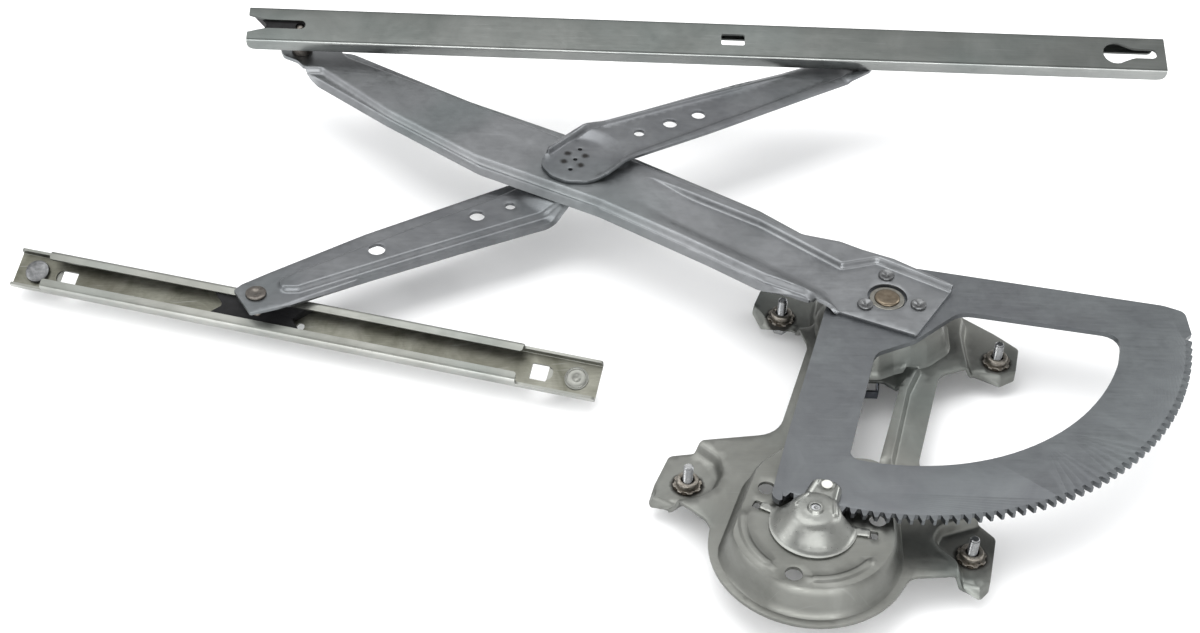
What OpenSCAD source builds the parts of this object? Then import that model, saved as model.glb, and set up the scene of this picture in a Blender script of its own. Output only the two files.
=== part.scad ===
// Cross-arm window regulator without its motor, lying flat with its glass side up.
// Millimetres. The origin is on the main pivot's axis, at the underside of the mounting feet.
// +Z points from the door's inner panel to the glass, and X runs along the glass channel.

/* [Cross arms] */
// Distance from the centre joint to each of the four arm ends
arm_half = 196; // [180:1:210]
// Angle between the main arm and the glass channel as stored
cross_angle = 31.92; // [25:0.01:38]
// Thickness of the main arm's sheet
main_t = 2.2; // [1.8:0.1:2.4]
// Thickness of the equalizer arms' sheet
eq_t = 1.8; // [1.5:0.1:2]
// How far the main arm's pressed panel stands above its flanges
main_rise = 3.5; // [3:0.1:4]
// Radius of the round pads that clamp the centre joint
joint_pad_r = 20; // [17:0.5:21]
// Radius of the hub that the main arm turns on
joint_hub_r = 11.95; // [9:0.05:13]

/* [Sector gear] */
// Gear module of the sector and the pinion
gear_module = 1.75; // [1.7:0.05:1.8]
// Teeth that a full circle of the sector would hold
full_teeth = 180; // [178:1:182]
// Teeth on the sector itself
sector_teeth = 53; // [50:1:54]
// Direction of the first tooth, at the free end of the arc
first_tooth = -9.5; // [-10:0.1:-9]
// Thickness of the sector plate
sector_t = 3; // [2.5:0.1:3]
// Radius of the inner edge of the toothed rim
rim_inner_r = 122.5; // [118:0.5:126]

/* [Pinion] */
// Teeth on the pinion
pinion_teeth = 9; // [9:1:9]
// Which sector tooth the pinion meets as stored, counted from the free end
mesh_tooth = 49; // [40:1:50]
// Outside radius of the pinion
pinion_tip_r = 10.2; // [10:0.05:10.3]
// Radius of the pinion's shank through the bracket
pinion_shank_r = 6; // [5:0.1:6.5]

/* [Mounting bracket] */
// Thickness of the bracket's sheet
sheet_t = 1.8; // [1.5:0.1:2]
// Height of the flange plane's underside above the feet
flange_z = 6; // [5:0.1:7]
// Height of the top of the dome and of the pivot boss
dome_top_z = 22.6; // [21:0.1:22.8]
// Outside radius of the motor dome
dome_r = 43; // [40:0.5:45]
// Outside radius of the flange round the dome
dome_flange_r = 48.2; // [46:0.1:51]
// Outside radius of the pivot boss
boss_r = 35; // [30:0.5:37]
// Diameter of the motor screw holes
motor_hole_d = 8.4; // [6:0.1:9]
// Pitch circle diameter of the motor screw holes
motor_pcd = 63.3; // [60:0.1:66]
// Direction of the first motor screw hole
motor_first = 10; // [5:1:15]

/* [Mounting bolts] */
// Thread diameter of the four bolts
bolt_d = 5; // [5:0.5:6]
// How far each bolt stands above its foot
bolt_up = 15; // [12:0.5:18]
// How far each bolt's head reaches below its foot
bolt_down = 4.5; // [4:0.1:6]
// Outside diameter of the welded nut's flange
nut_flange_d = 14.9; // [12:0.1:16]

/* [Channels] */
// Sheet thickness of both channels
channel_t = 1.5; // [1.2:0.1:1.5]
// Depth of both channels, from the web to the lips
channel_h = 9.7; // [9.7:0.1:10.5]
// Width of the glass channel
sash_w = 25; // [24:0.5:26]
// Length of the glass channel
sash_len = 548; // [500:1:560]
// How far the glass channel reaches past the main arm's stud
sash_over = 30.6; // [29.5:0.1:36]
// Roll of the glass channel towards the viewer
sash_roll = 20; // [10:1:20]
// Width of the guide channel
guide_w = 22; // [21:0.5:24]
// Length of the guide channel
guide_len = 327; // [300:1:340]
// Distance from the guide channel's left end to its slider
guide_over = 140; // [120:1:180]
// Roll of the guide channel towards the viewer
guide_roll = 26; // [10:1:26]
// Turn of the guide channel as stored, seen from above
guide_turn = -13.6; // [-15:0.1:-8]

/* [Sliders] */
// Length of a slider
slider_len = 58; // [50:1:58]
// Radius of the ball on each stud
ball_r = 3.6; // [3.2:0.1:3.6]
// Radius of the neck below each ball
neck_r = 2.9; // [2.5:0.1:3]
// Height of the balls in the glass channel
sash_ball_z = 49.8; // [49.8:0.1:52]
// Height of the ball in the guide channel
guide_ball_z = 6.2; // [5:0.1:6.4]

/* [Hidden] */
$fn = 48;
eps = 0.01;
// Running clearance on a radius
run = 0.05;
// Play between parts that pass over each other
play = 0.3;

// Heights of the stack on the main pivot
seat_z = 25;
washer_t = 1.45;
sector_z = seat_z + washer_t + run;
arm_z = sector_z + sector_t;
arm_top = arm_z + main_t;
panel_z = arm_z + main_rise;
panel_top = panel_z + main_t;
// Heights of the stack on the centre joint
lower_pad_z = arm_z - play - eq_t;
upper_pad_z = panel_top + play;
upper_floor_z = upper_pad_z + 2.7;
rim_rise = 1.5;
tongue_z = 17.7;
// Sector gear and pinion
press_angle = 20;
pitch_r = gear_module * full_teeth / 2;
pinion_pitch_r = gear_module * pinion_teeth / 2;
tooth_step = 360 / full_teeth;
shift = 0.47;
backlash = 0.09;
sector_tip_r = pitch_r + gear_module * (1 - shift);
mesh_r = pitch_r + pinion_pitch_r;
sector_root_r = mesh_r - pinion_tip_r - 0.35;
pinion_root_r = mesh_r - sector_tip_r - 0.35;
mesh_dir = first_tooth - mesh_tooth * tooth_step;
pinion_x = mesh_r * cos(mesh_dir);
pinion_y = mesh_r * sin(mesh_dir);
// Joint positions
joint_x = -arm_half * cos(cross_angle);
joint_y = arm_half * sin(cross_angle);
r1 = [2 * joint_x, 2 * joint_y];
r2 = [2 * joint_x, 0];
r3 = [0, 2 * joint_y];
// Main pivot
shaft_r = 6;
collar_r = 9.25;
arm_hole_r = 10.5;
rivet_spots = [[8.1, 15.1], [6.7, -12.7], [-16.6, 3.1]];
rivet_r = 2.2;
rivet_head_r = 4.25;
rivet_tail_r = 3.4;
rivet_tail_h = 1;
washer_r = 10.7;
// Bush, and the raised seat round it on the boss
bush_r = 7.5;
bush_flange_r = 10.5;
bush_flange_h = 1.5;
seat_r = 12;
// Raised arcs on the dome
dome_ribs = [200, 292];
rib_r = 33;
rib_w = 4.6;
rib_h = 0.9;
// Retaining ring in the shaft's groove, behind the boss
ring_z = 17.6;
ring_t = 1.5;
ring_r = 9.5;
// Clock spring behind the boss: inner end in the shaft's slot, outer end hooked on the bracket
spring_turns = 4.5;
spring_pitch = 4.6;
spring_in_r = 10;
spring_t = 1.5;
spring_z = 1;
spring_h = 10;
spring_end = 262;
spring_tail_h = 4.6;
spring_start = spring_end - 360 * spring_turns;
// Pinion and its cover
pinion_z = sector_z - 1;
pinion_h = 5;
pinion_bottom = 9;
pinion_pin_r = 2.25;
cover_base_r = 20.2;
cover_top_r = 8.5;
cover_top_z = 34.8;
cover_t = 1.2;
cover_slope = (cover_base_r - cover_top_r) / (cover_top_z - dome_top_z);
cover_ears = [153, 351];
cover_pin_r = 1.9;
// The cover is open where the sector's rim passes under it
cover_window_r = sector_tip_r + 4.5;
// Bent ears that hold the cover in slots of the dome
ear_w = 4.8;
ear_reach = 6;
ear_drop = 5;
button_x = -42.8;
button_y = -139.9;
// Ball studs
stud_shank_r = 4;
stud_collar_r = 6;
stud_back_r = 5.6;
stud_back_h = 1.4;
// Feet
bolt_spots = [[-52.5, 14.7], [60.1, -15.6], [-106.4, -113.2], [28.3, -155.4]];
nut_h = 4.6;
nut_r = 5.65;
nut_flange_h = 1.5;
nut_top = sheet_t + nut_h;
bolt_hole_r = bolt_d / 2 + 0.25;
// Root of the bolts' thread, which the nuts hold
thread_core_r = bolt_d / 2 - 0.3;
// The bolts are backed off by the sheet of the door that they clamp
bolt_grip = 2.2;
bolt_head_r = 5.2;
bolt_flange_h = 1.2;
bolt_hex_r = 4.6;
// Channel section, measured from the ball's centre along the channel's own normal
web_in = 4;
lip_in = web_in + channel_t - channel_h + channel_t;
web_out = -web_in - channel_t;
slider_gap = 0.25;
lip_gap = 6.5;
// Keyhole's distance from the glass channel's right end, and its radius
key_from_end = 29.9;
key_r = 7.2;
key_slot_r = 3;
key_slot_len = 21.5;
key_taper = 13;
fork_r = 3.1;
fork_depth = 31;
// The guide channel's full lips run from lip_start to lip_end; its studs stand near its ends
lip_start = 19;
lip_end = guide_len - 42;
guide_stud_in = 12;
stud_hole_r = 4;
guide_stud_r = 3;

// Points along an arc
function arc(cx, cy, r, a0, a1, n = 12) =
    [for (i = [0:n]) [cx + r * cos(a0 + (a1 - a0) * i / n), cy + r * sin(a0 + (a1 - a0) * i / n)]];
function unit(v) = v / norm(v);
function corner(a, b, c, r, n) =
    let (u = unit(a - b), v = unit(c - b))
    let (half = acos(max(-1, min(1, u * v))) / 2)
    let (centre = b + unit(u + v) * r / sin(half))
    let (s = b + u * r / tan(half) - centre, e = b + v * r / tan(half) - centre)
    let (a0 = atan2(s.y, s.x), turn = (atan2(e.y, e.x) - a0 + 540) % 360 - 180)
    [for (i = [0:n]) centre + r * [cos(a0 + turn * i / n), sin(a0 + turn * i / n)]];
// Polygon from corners [x, y, radius]
function rounded(p, n = 4) = [for (i = [0:len(p) - 1])
    let (a = p[(i + len(p) - 1) % len(p)], b = p[i], c = p[(i + 1) % len(p)])
    each (b[2] > 0 ? corner([a.x, a.y], [b.x, b.y], [c.x, c.y], b[2], n) : [[b.x, b.y]])];
// The same polygon moved inwards by d; points run counter-clockwise for a positive d
function inset(p, d) = [for (i = [0:len(p) - 1])
    let (a = p[(i + len(p) - 1) % len(p)], b = p[i], c = p[(i + 1) % len(p)])
    let (u = unit(b - a), v = unit(c - b), m = unit(u + v))
    let (side = [-m.y, m.x])
    b + side * d / max(0.3, side * [-u.y, u.x])];
// Closed band of width w on the left of an open line
function band(p, w) =
    let (n = len(p) - 1)
    let (dir = [for (i = [0:n]) unit(p[min(n, i + 1)] - p[max(0, i - 1)])])
    concat(p, [for (i = [n:-1:0]) p[i] + w * [-dir[i].y, dir[i].x]]);
function reversed(p) = [for (i = [len(p) - 1:-1:0]) p[i]];

module slab(p, z, h) translate([0, 0, z]) linear_extrude(h) polygon(p);
module rod(r, z0, z1, fn = 48) translate([0, 0, z0]) cylinder(r = r, h = z1 - z0, $fn = fn);
module at(p) translate([p.x, p.y, 0]) children();
module on_joint() translate([joint_x, joint_y, 0]) children();
// Main arm's own axes: u runs from the main pivot to its stud, v to the far side
module main_axes() rotate([0, 0, 180 - cross_angle]) mirror([0, 1, 0]) children();
// Upper arm's own axes, from the centre joint
module upper_axes() on_joint() rotate([0, 0, cross_angle]) children();
// Lower arm's own axes, from the centre joint
module lower_axes() on_joint() rotate([0, 0, 180 + cross_angle]) mirror([0, 1, 0]) children();
// Hollow pressing: a panel raised by rise above the sheet at z
module pressing(panel, z, rise, t) {
    difference() {
        slab(panel, z, rise + t);
        slab(inset(panel, t), z - 1, rise + 1);
    }
}

// Involute teeth
function inv_deg(a) = tan(a) * 180 / PI - a;
// Half of a tooth's angle at radius r, for a gear of z teeth with profile shift x
function half_tooth(r, z, x) =
    let (rp = gear_module * z / 2, rb = rp * cos(press_angle))
    let (at_pitch = (PI / 2 + 2 * x * tan(press_angle)) * gear_module - backlash)
    at_pitch / (2 * rp) * 180 / PI + inv_deg(press_angle) - (r > rb ? inv_deg(acos(rb / r)) : 0);
// One tooth's outline from root to root, centred on direction dir
function tooth(dir, z, x, r_root, r_tip, n = 5) =
    let (rb = gear_module * z / 2 * cos(press_angle), r0 = max(r_root + 0.3, rb))
    let (rs = [for (i = [0:n]) r0 + (r_tip - r0) * i / n])
    let (foot = half_tooth(r0, z, x))
    concat([r_root * [cos(dir - foot * 1.08), sin(dir - foot * 1.08)]],
        [for (r = rs) let (h = half_tooth(r, z, x)) r * [cos(dir - h), sin(dir - h)]],
        [for (r = reversed(rs)) let (h = half_tooth(r, z, x)) r * [cos(dir + h), sin(dir + h)]],
        [r_root * [cos(dir + foot * 1.08), sin(dir + foot * 1.08)]]);

// Sector plate's outline, counter-clockwise: hub, left arm, teeth, top arm
sector_hub = [[8, 29], [-22, 24], [-33.5, -10]];
sector_left = [[-59.5, -106], [-69.6, -146.5], [-60.5, -150.2]];
sector_right = [[157.4, -19.5], [157.6, -2], [147, 2.8]];
function teeth_line() = [for (k = [sector_teeth - 1:-1:0])
    each tooth(first_tooth - k * tooth_step, full_teeth, -shift, sector_root_r, sector_tip_r)];
sector_outline = concat(
    corner(sector_hub[0], sector_hub[1], sector_hub[2], 14, 4),
    corner(sector_hub[1], sector_hub[2], sector_left[0], 12, 4),
    corner(sector_hub[2], sector_left[0], sector_left[1], 60, 4),
    corner(sector_left[0], sector_left[1], sector_left[2], 5, 4),
    [[-64.2, -147.6]],
    teeth_line(),
    [sector_right[0]],
    corner(sector_right[0], sector_right[1], sector_right[2], 5, 4),
    corner(sector_right[1], sector_right[2], sector_hub[0], 12, 4),
    corner(sector_right[2], sector_hub[0], sector_hub[1], 16, 4));
sector_cut = concat(
    corner([-10, -42], [-30.2, -118.6], [-22, -120.4], 5, 5),
    arc(0, 0, rim_inner_r, -100, -20, 28),
    corner([117, -34], [121, -21.7], [38, -7.4], 9, 5),
    corner([121, -21.7], [38, -7.4], [12, -31], 14, 5),
    corner([38, -7.4], [12, -31], [-10, -42], 12, 4),
    corner([12, -31], [-10, -42], [-30.2, -118.6], 10, 5));

// Bracket outlines
flange_outline = rounded([[-95, -150, 6], [-106, -134, 12], [-114, -127.6, 0], [-102.5, -124.1, 0],
    [-94.5, -118.7, 0], [-90.7, -108, 0], [-95, -95.6, 0], [-100.9, -92.1, 0], [-98, -87.2, 3],
    [-60, -81, 16], [-40.4, -14, 14], [-45, 0, 3], [-38, 26, 0], [-20, 37, 12], [30, 34, 14],
    [45, 21, 0], [50.5, 14, 0], [48.2, -24.6, 0], [27, -33, 10], [8.5, -100, 14], [14, -118, 10],
    [33, -131, 3], [31.9, -135.6, 0], [15.5, -142.5, 0], [12.3, -148, 0], [13.6, -153, 0],
    [22.2, -161.1, 0], [22.1, -171.2, 0], [-2, -173, 8], [-12, -188, 4], [-49, -190, 4],
    [-90, -180, 4]], 4);
dome_outline = concat(arc(pinion_x, pinion_y, dome_r, -170, 2, 40),
    corner([-6.7, -150], [-5, -108], [-40, -106], 8, 4),
    corner([-5, -108], [-40, -106], [-56, -97], 14, 4),
    corner([-40, -106], [-56, -97], [-77, -115], 12, 4),
    corner([-56, -97], [-77, -115], [-91.8, -160], 26, 4));
window_outline = rounded([[-26, -40, 5], [-41, -94, 6], [-34, -103.4, 4], [-12.5, -105.4, 5],
    [4.5, -47, 5], [-3, -39, 4]], 4);
foot_ul = rounded([[-67.5, 22, 3], [-63, 12.5, 3], [-40.5, 4.5, 0], [-34, 24, 0], [-46, 41, 6],
    [-62, 38, 4]], 4);
foot_ur = rounded([[46, 2, 0], [44, -22, 0], [61, -28, 3], [68.6, -24.6, 2], [73.7, -5, 3],
    [62, 7, 4], [50, 18, 0]], 4);
foot_ll = rounded([[-101, -90.8, 0], [-115, -93.6, 4], [-125.6, -123, 3], [-113, -126, 0],
    [-101, -122, 0], [-92.5, -113, 0], [-92.5, -101, 0]], 4);
foot_lr = rounded([[31.5, -133, 0], [14, -143, 0], [14, -152, 0], [21, -163, 0], [22, -170, 0],
    [31, -176.8, 3], [34.5, -173, 2], [42, -143, 4]], 4);
step_ul = [[-45.5, 1], [-36.5, 4], [-36, 14], [-33, 26], [-32, 31]];
step_ur = [[43, 23], [46, 12], [43.5, 0], [43.5, -12], [44, -26.3]];
step_ll = [[-115, -128], [-102, -124.8], [-93.5, -118.5], [-89.7, -109], [-91.5, -99], [-101, -90]];
step_lr = [[33.5, -134.2], [15, -141.2], [11.5, -148], [12.7, -153.5], [21, -162.5], [21, -172]];
// The tabs at the feet's edges reach this far below the feet
tab_drop = 4.5;
tab_ul = [[-65.8, 18], [-63, 12.9], [-59, 11.3]];
tab_ur = [[47, -23], [60, -27.6], [67.5, -25]];
tab_ll = [[-125, -119], [-124.6, -123], [-112, -126]];
tab_lr = [[22.5, -170.5], [30.5, -176.5], [34, -173]];

module leg(foot, step, tab, spot) {
    difference() {
        union() {
            slab(foot, 0, sheet_t);
            slab(band(step, 2), 0, flange_z + sheet_t);
            slab(band(tab, 1.6), -tab_drop, tab_drop + sheet_t);
        }
        at(spot) rod(bolt_hole_r, -1, sheet_t + 1);
    }
}

module backplate() {
    color("#94969a") difference() {
        union() {
            difference() {
                union() {
                    slab(flange_outline, flange_z, sheet_t);
                    at([pinion_x, pinion_y]) rod(dome_flange_r, flange_z, flange_z + sheet_t, 96);
                }
                slab(window_outline, flange_z - 1, sheet_t + 2);
                slab(inset(dome_outline, sheet_t), flange_z - 1, sheet_t + 2);
                rod(boss_r - sheet_t, flange_z - 1, flange_z + sheet_t + 1);
            }
            pressing(dome_outline, flange_z, dome_top_z - sheet_t - flange_z, sheet_t);
            difference() {
                rod(boss_r, flange_z, dome_top_z, 72);
                rod(boss_r - sheet_t, flange_z - 1, dome_top_z - sheet_t, 72);
            }
            rod(seat_r, dome_top_z - eps, seat_z);
            slab(band([[-13.5, -103], [4.5, -47], [1, -41]], 1.8), flange_z, 6);
            slab(band([[-19, -42], [-8.2, -42.6]], 2.8), -1, flange_z + sheet_t + 1);
            for (a = dome_ribs)
                at([pinion_x, pinion_y]) rotate([0, 0, a])
                    translate([0, 0, dome_top_z - eps]) arc_rib();
            leg(foot_ul, step_ul, tab_ul, bolt_spots[0]);
            leg(foot_ur, step_ur, tab_ur, bolt_spots[1]);
            leg(foot_ll, step_ll, tab_ll, bolt_spots[2]);
            leg(foot_lr, step_lr, tab_lr, bolt_spots[3]);
        }
        rod(bush_r + run, 0, seat_z + 1);
        at([pinion_x, pinion_y]) rod(pinion_shank_r + 2, flange_z, dome_top_z + 1);
        for (i = [0:2])
            at([pinion_x, pinion_y]) rotate([0, 0, motor_first + 120 * i])
                translate([motor_pcd / 2, 0, 0]) rod(motor_hole_d / 2, flange_z, dome_top_z + 1);
        for (a = cover_ears)
            at([pinion_x, pinion_y]) rotate([0, 0, a])
                translate([cover_base_r + ear_reach - 0.7, -ear_w / 2 - 0.2, flange_z])
                    cube([6, ear_w + 0.4, 30]);
    }
}
module arc_rib() rotate_extrude(angle = 45, $fn = 96) translate([rib_r, 0]) square([rib_w, rib_h]);

module weld_nuts() {
    color("#8d8a84") for (p = bolt_spots) at(p) difference() {
        union() {
            rod(nut_flange_d / 2, sheet_t, sheet_t + nut_flange_h);
            rod(nut_r, sheet_t, nut_top);
        }
        rod(thread_core_r + run, 0, nut_top + 1);
    }
}

module mounting_bolts() {
    color("#a3a5a6") for (p = bolt_spots) at(p) {
        rod(bolt_d / 2, nut_top + 0.2, bolt_up);
        rod(thread_core_r, -bolt_grip - eps, nut_top + 0.2 + eps);
        rod(bolt_head_r, -bolt_grip - bolt_flange_h, -bolt_grip);
        rotate([0, 0, 15]) translate([0, 0, -bolt_grip - bolt_down])
            cylinder(r = bolt_hex_r, h = bolt_down - bolt_flange_h + eps, $fn = 6);
    }
}

module pivot_bush() {
    color("#b08d57") difference() {
        union() {
            rod(bush_r, dome_top_z - sheet_t - bush_flange_h, seat_z);
            rod(bush_flange_r, dome_top_z - sheet_t - bush_flange_h, dome_top_z - sheet_t);
        }
        rod(shaft_r + run, 0, seat_z + 1);
    }
}

module cover_shell(d, top) {
    at([pinion_x, pinion_y]) translate([0, 0, dome_top_z])
        cylinder(r1 = cover_base_r - d, r2 = cover_base_r - d - cover_slope * (top - dome_top_z),
            h = top - dome_top_z, $fn = 72);
}
module cover_tab(w, z, h) {
    a = atan2(button_y - pinion_y, button_x - pinion_x);
    len_tab = norm([button_y - pinion_y, button_x - pinion_x]);
    at([pinion_x, pinion_y]) rotate([0, 0, a]) {
        translate([4, -w / 2, z]) cube([len_tab - 4, w, h]);
        translate([len_tab, 0, z]) cylinder(r = w / 2, h = h);
    }
}
module pinion_cover() {
    color("#a4a6a8") difference() {
        union() {
            difference() {
                cover_shell(0, cover_top_z);
                cover_shell(cover_t * 1.3, cover_top_z - cover_t);
                difference() {
                    rod(cover_window_r, dome_top_z + 1, arm_z + 0.8, 180);
                    rod(60, 0, 60);
                }
            }
            cover_tab(9, arm_z + 2.2, 1.3);
            for (a = cover_ears)
                at([pinion_x, pinion_y]) rotate([0, 0, a]) {
                    translate([cover_base_r - cover_t, -ear_w / 2, dome_top_z])
                        cube([ear_reach + 2 * cover_t + 0.2, ear_w, cover_t]);
                    translate([cover_base_r + ear_reach, -ear_w / 2, dome_top_z - ear_drop])
                        cube([cover_t, ear_w, ear_drop + eps]);
                }
            at([pinion_x, pinion_y]) rod(4, cover_top_z - cover_t, cover_top_z + 1.3);
        }
        at([pinion_x, pinion_y]) rod(pinion_pin_r + run, 30, 40);
        at([button_x, button_y]) rod(cover_pin_r, 30, 40);
    }
}

module guide_button() {
    color("#e9e9e4") at([button_x, button_y]) {
        rod(cover_pin_r - run, arm_z + 2, arm_z + 3.6);
        rod(2.6, arm_z + 3.5, arm_z + 4.4);
        rod(4, arm_z + 0.2, arm_z + 2.2);
    }
}

function spiral(off) = [for (i = [0:spring_turns * 28])
    let (a = spring_start + i * 360 / 28)
    let (r = spring_in_r + spring_pitch * i / 28 + off)
    r * [cos(a), sin(a)]];
module counterbalance_spring() {
    color("#4c4e52") {
        slab(concat(spiral(0), reversed(spiral(spring_t))), spring_z, spring_h);
        rotate([0, 0, spring_start]) translate([-4.5, -0.7, spring_z])
            cube([spring_in_r + 5.4, 1.4, spring_h]);
        rotate([0, 0, spring_end])
            translate([spring_in_r + spring_pitch * spring_turns + 0.2, -spring_t / 2, spring_z])
            cube([14, spring_t, spring_tail_h]);
        translate([-13.5, -45.9, spring_z]) cube([7.6, spring_t, spring_tail_h]);
    }
}

module sector_gear() {
    color("#7f8286") difference() {
        slab(sector_outline, sector_z, sector_t);
        slab(sector_cut, sector_z - 1, sector_t + 2);
        rod(collar_r + run, 0, 40);
        main_axes() for (p = rivet_spots) translate([p.x, p.y, 0]) rod(rivet_r + run, 0, 40);
    }
}

arm_end = 2 * arm_half;
main_flange = rounded([[-26, -21, 2], [30, -25.7, 12], [58, -29.9, 12], [93, -27.5, 30],
    [arm_half - 32, -25.3, 60], [arm_half + 44, -31.6, 30], [arm_end - 82, -24.2, 60],
    [arm_end - 18, -14.5, 6], [arm_end - 12, -8, 3], [arm_end - 12, 14, 3], [arm_end - 24, 19, 12],
    [arm_end - 110, 18.8, 60], [arm_half + 25, 23.4, 30], [arm_half - 24, 27.1, 30],
    [91, 25.6, 30], [62, 21, 8], [42, 27.3, 8], [-2, 29.5, 12], [-26, 26, 2]], 4);
main_panel = rounded([[arm_end - 20, -9, 4], [arm_end - 14, 6, 4], [arm_end - 24, 12, 8],
    [arm_end - 74, 14.4, 40], [arm_half + 22, 17.2, 30], [arm_half - 24, 22.6, 20],
    [92, 22, 20], [64, 18, 8], [44, 22, 8], [17, 24.5, 0], [17.5, 21.1, 0], [29.9, 5.9, 4],
    [84.7, 13.1, 30], [arm_half - 40, 12.4, 6], [arm_half - 38, -6.8, 6], [71.8, -10.1, 40],
    [30, -14.5, 3], [34, -22.5, 3], [60, -26, 12], [109, -23.5, 30], [arm_half - 31, -21.8, 30],
    [arm_half + 49, -27.6, 30], [arm_end - 80, -20.6, 40]], 4);
// Down-turned lip along the near edge: whole depth away from the centre joint, shallow beside it
main_lip = [[arm_end - 18, -14.3], [arm_end - 82, -24], [arm_half + 44, -31.2], [arm_half - 32, -25.1],
    [93, -27.3], [62, -29.5]];
lip_depth = 2.5;
main_tip = rounded([[arm_end - 24, -12, 0], [arm_end + 4, -10.5, 6], [arm_end + 13, -5, 6],
    [arm_end + 13, 6, 6], [arm_end + 2, 12, 8], [arm_end - 24, 12, 0]], 4);
// The lower arm's pad and slope turn inside this radius under the main arm
lip_clear_r = 33.5;
module main_arm() {
    color("#8e9194") main_axes() difference() {
        union() {
            difference() {
                slab(main_flange, arm_z, main_t);
                slab(inset(main_panel, main_t), arm_z - 1, main_t + 2);
            }
            pressing(main_panel, arm_z, main_rise, main_t);
            slab(band([[-24, 24], [-2, 27.3], [16, 26.6]], 2), arm_z, main_t + 2);
            difference() {
                slab(reversed(band(main_lip, -2)), arm_z - lip_depth, lip_depth + 0.5);
                translate([arm_half, 0, 0]) rod(lip_clear_r, 0, arm_z);
            }
            slab(main_tip, panel_z, main_t);
        }
        rod(arm_hole_r, 0, 60);
        translate([arm_half, 0, 0]) rod(joint_hub_r + run, 0, 60);
        translate([arm_end, 0, 0]) rod(stud_shank_r + run, 0, 60);
        for (p = rivet_spots) translate([p.x, p.y, 0]) rod(rivet_r + run, 0, 60);
    }
}

module sector_rivets() {
    color("#9a9c9e") main_axes() for (p = rivet_spots) translate([p.x, p.y, 0]) {
        rod(rivet_r, sector_z - eps, arm_top + eps);
        rod(rivet_head_r, arm_top, arm_top + 1.6);
        rod(rivet_tail_r, sector_z - rivet_tail_h, sector_z);
    }
}

module pivot_shaft() {
    color("#7d7466") difference() {
        union() {
            rod(shaft_r, 0.5, sector_z + 4.2);
            rod(6.8, sector_z + 4.2 - eps, arm_top + 0.3);
        }
        rotate([0, 0, spring_start]) translate([-5, -0.8, 0]) cube([12, 1.6, 14]);
        difference() {
            rod(shaft_r + 1, ring_z, ring_z + ring_t);
            rod(shaft_r - 1, 0, 30);
        }
    }
}
module shaft_retaining_ring() {
    color("#3d3f42") difference() {
        rod(ring_r, ring_z + run, ring_z + ring_t - run);
        rod(shaft_r - 1 + run, 0, 30);
        translate([0, -2.5, 0]) cube([20, 5, 30]);
    }
}

module shaft_collar() {
    color("#6d675d") difference() {
        rod(collar_r, sector_z, sector_z + 4.2 - eps);
        rod(shaft_r + run, 0, 60);
    }
}

module thrust_washer() {
    color("#35363a") difference() {
        rod(washer_r, seat_z, seat_z + washer_t);
        rod(shaft_r + run, 0, 60);
    }
}

// Stud with its ball at the origin: seat is the sheet face it stands on, back the far face
module ball_stud(seat, back, collar) {
    color("#a9abad") {
        difference() {
            sphere(r = ball_r, $fn = 36);
            rod(ball_r, -ball_r * 2, -ball_r + 0.6);
        }
        rod(neck_r, seat, -1);
        rod(stud_collar_r, seat, seat + collar);
        rod(stud_shank_r, back - eps, seat + eps);
        rod(stud_back_r, back - stud_back_h, back);
    }
}
module main_arm_ball_stud() at(r1) translate([0, 0, sash_ball_z])
    ball_stud(panel_top - sash_ball_z, panel_z - sash_ball_z, 7);
module upper_arm_ball_stud() at(r3) translate([0, 0, sash_ball_z])
    ball_stud(upper_floor_z + eq_t - sash_ball_z, upper_floor_z - sash_ball_z, 1.6);
module lower_arm_ball_stud() at(r2) translate([0, 0, guide_ball_z]) mirror([0, 0, 1])
    ball_stud(guide_ball_z - tongue_z, guide_ball_z - tongue_z - eq_t, 3);

upper_rim = rounded([[8, 19.5, 3], [26, 19.5, 4], [40, 20.5, 8], [88, 19, 20],
    [arm_half - 62, 15.4, 4], [arm_half - 62, 9, 0], [arm_half - 76, 9, 0], [73, 13.4, 20],
    [30, 15.4, 0], [8, 15.4, 0]], 3);
upper_floor = rounded([[26, -16.4, 3], [78, -17.4, 30], [arm_half - 44, -15.8, 20],
    [arm_half - 16, -15.4, 10], [arm_half + 2, -12.8, 8], [arm_half + 12, -4, 6],
    [arm_half + 12, 6, 6], [arm_half - 4, 12, 8], [arm_half - 62, 15.6, 20], [88, 19, 20],
    [36, 19.6, 6], [26, 17, 3]], 4);
upper_near_rim = [[28, -14.8], [78, -15.6], [arm_half - 44, -14.2], [arm_half - 18, -13.4]];
module upper_equalizer_arm() {
    color("#929598") upper_axes() difference() {
        union() {
            rod(joint_pad_r, upper_pad_z, upper_pad_z + eq_t, 64);
            slab([[12, -16], [27.5, -16.3], [27.5, 17], [12, 16]], upper_pad_z, eq_t);
            slab([[26, -16.4], [28, -16.4], [28, 17], [26, 17]], upper_pad_z,
                upper_floor_z - upper_pad_z + eq_t);
            slab(upper_floor, upper_floor_z, eq_t);
            slab(upper_rim, upper_floor_z, eq_t + rim_rise);
            slab(band(upper_near_rim, -1.6), upper_floor_z, eq_t + 0.9);
            slab(band([[-9.4, 10.7], [-8, 15], [2.5, 20], [10, 20.5]], -1.8), upper_pad_z, 6);
            slab(band([[-9.4, -17.5], [-2, -19.4], [14, -19], [28, -16.6]], 1.8), upper_pad_z, 5);
        }
        translate([43.4, 1.9, 0]) rod(3.2, 30, 50);
        translate([64.1, 1.3, 0]) rod(4.15, 30, 50);
        translate([83.3, 0.7, 0]) rod(4.15, 30, 50);
        for (p = [[7.6, 7.6], [0.3, 0.7], [-6.9, -6]]) translate([p.x, p.y, 0]) rod(1.3, 30, 50);
        translate([arm_half, 0, 0]) rod(stud_shank_r + run, 30, 50);
    }
}

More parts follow.
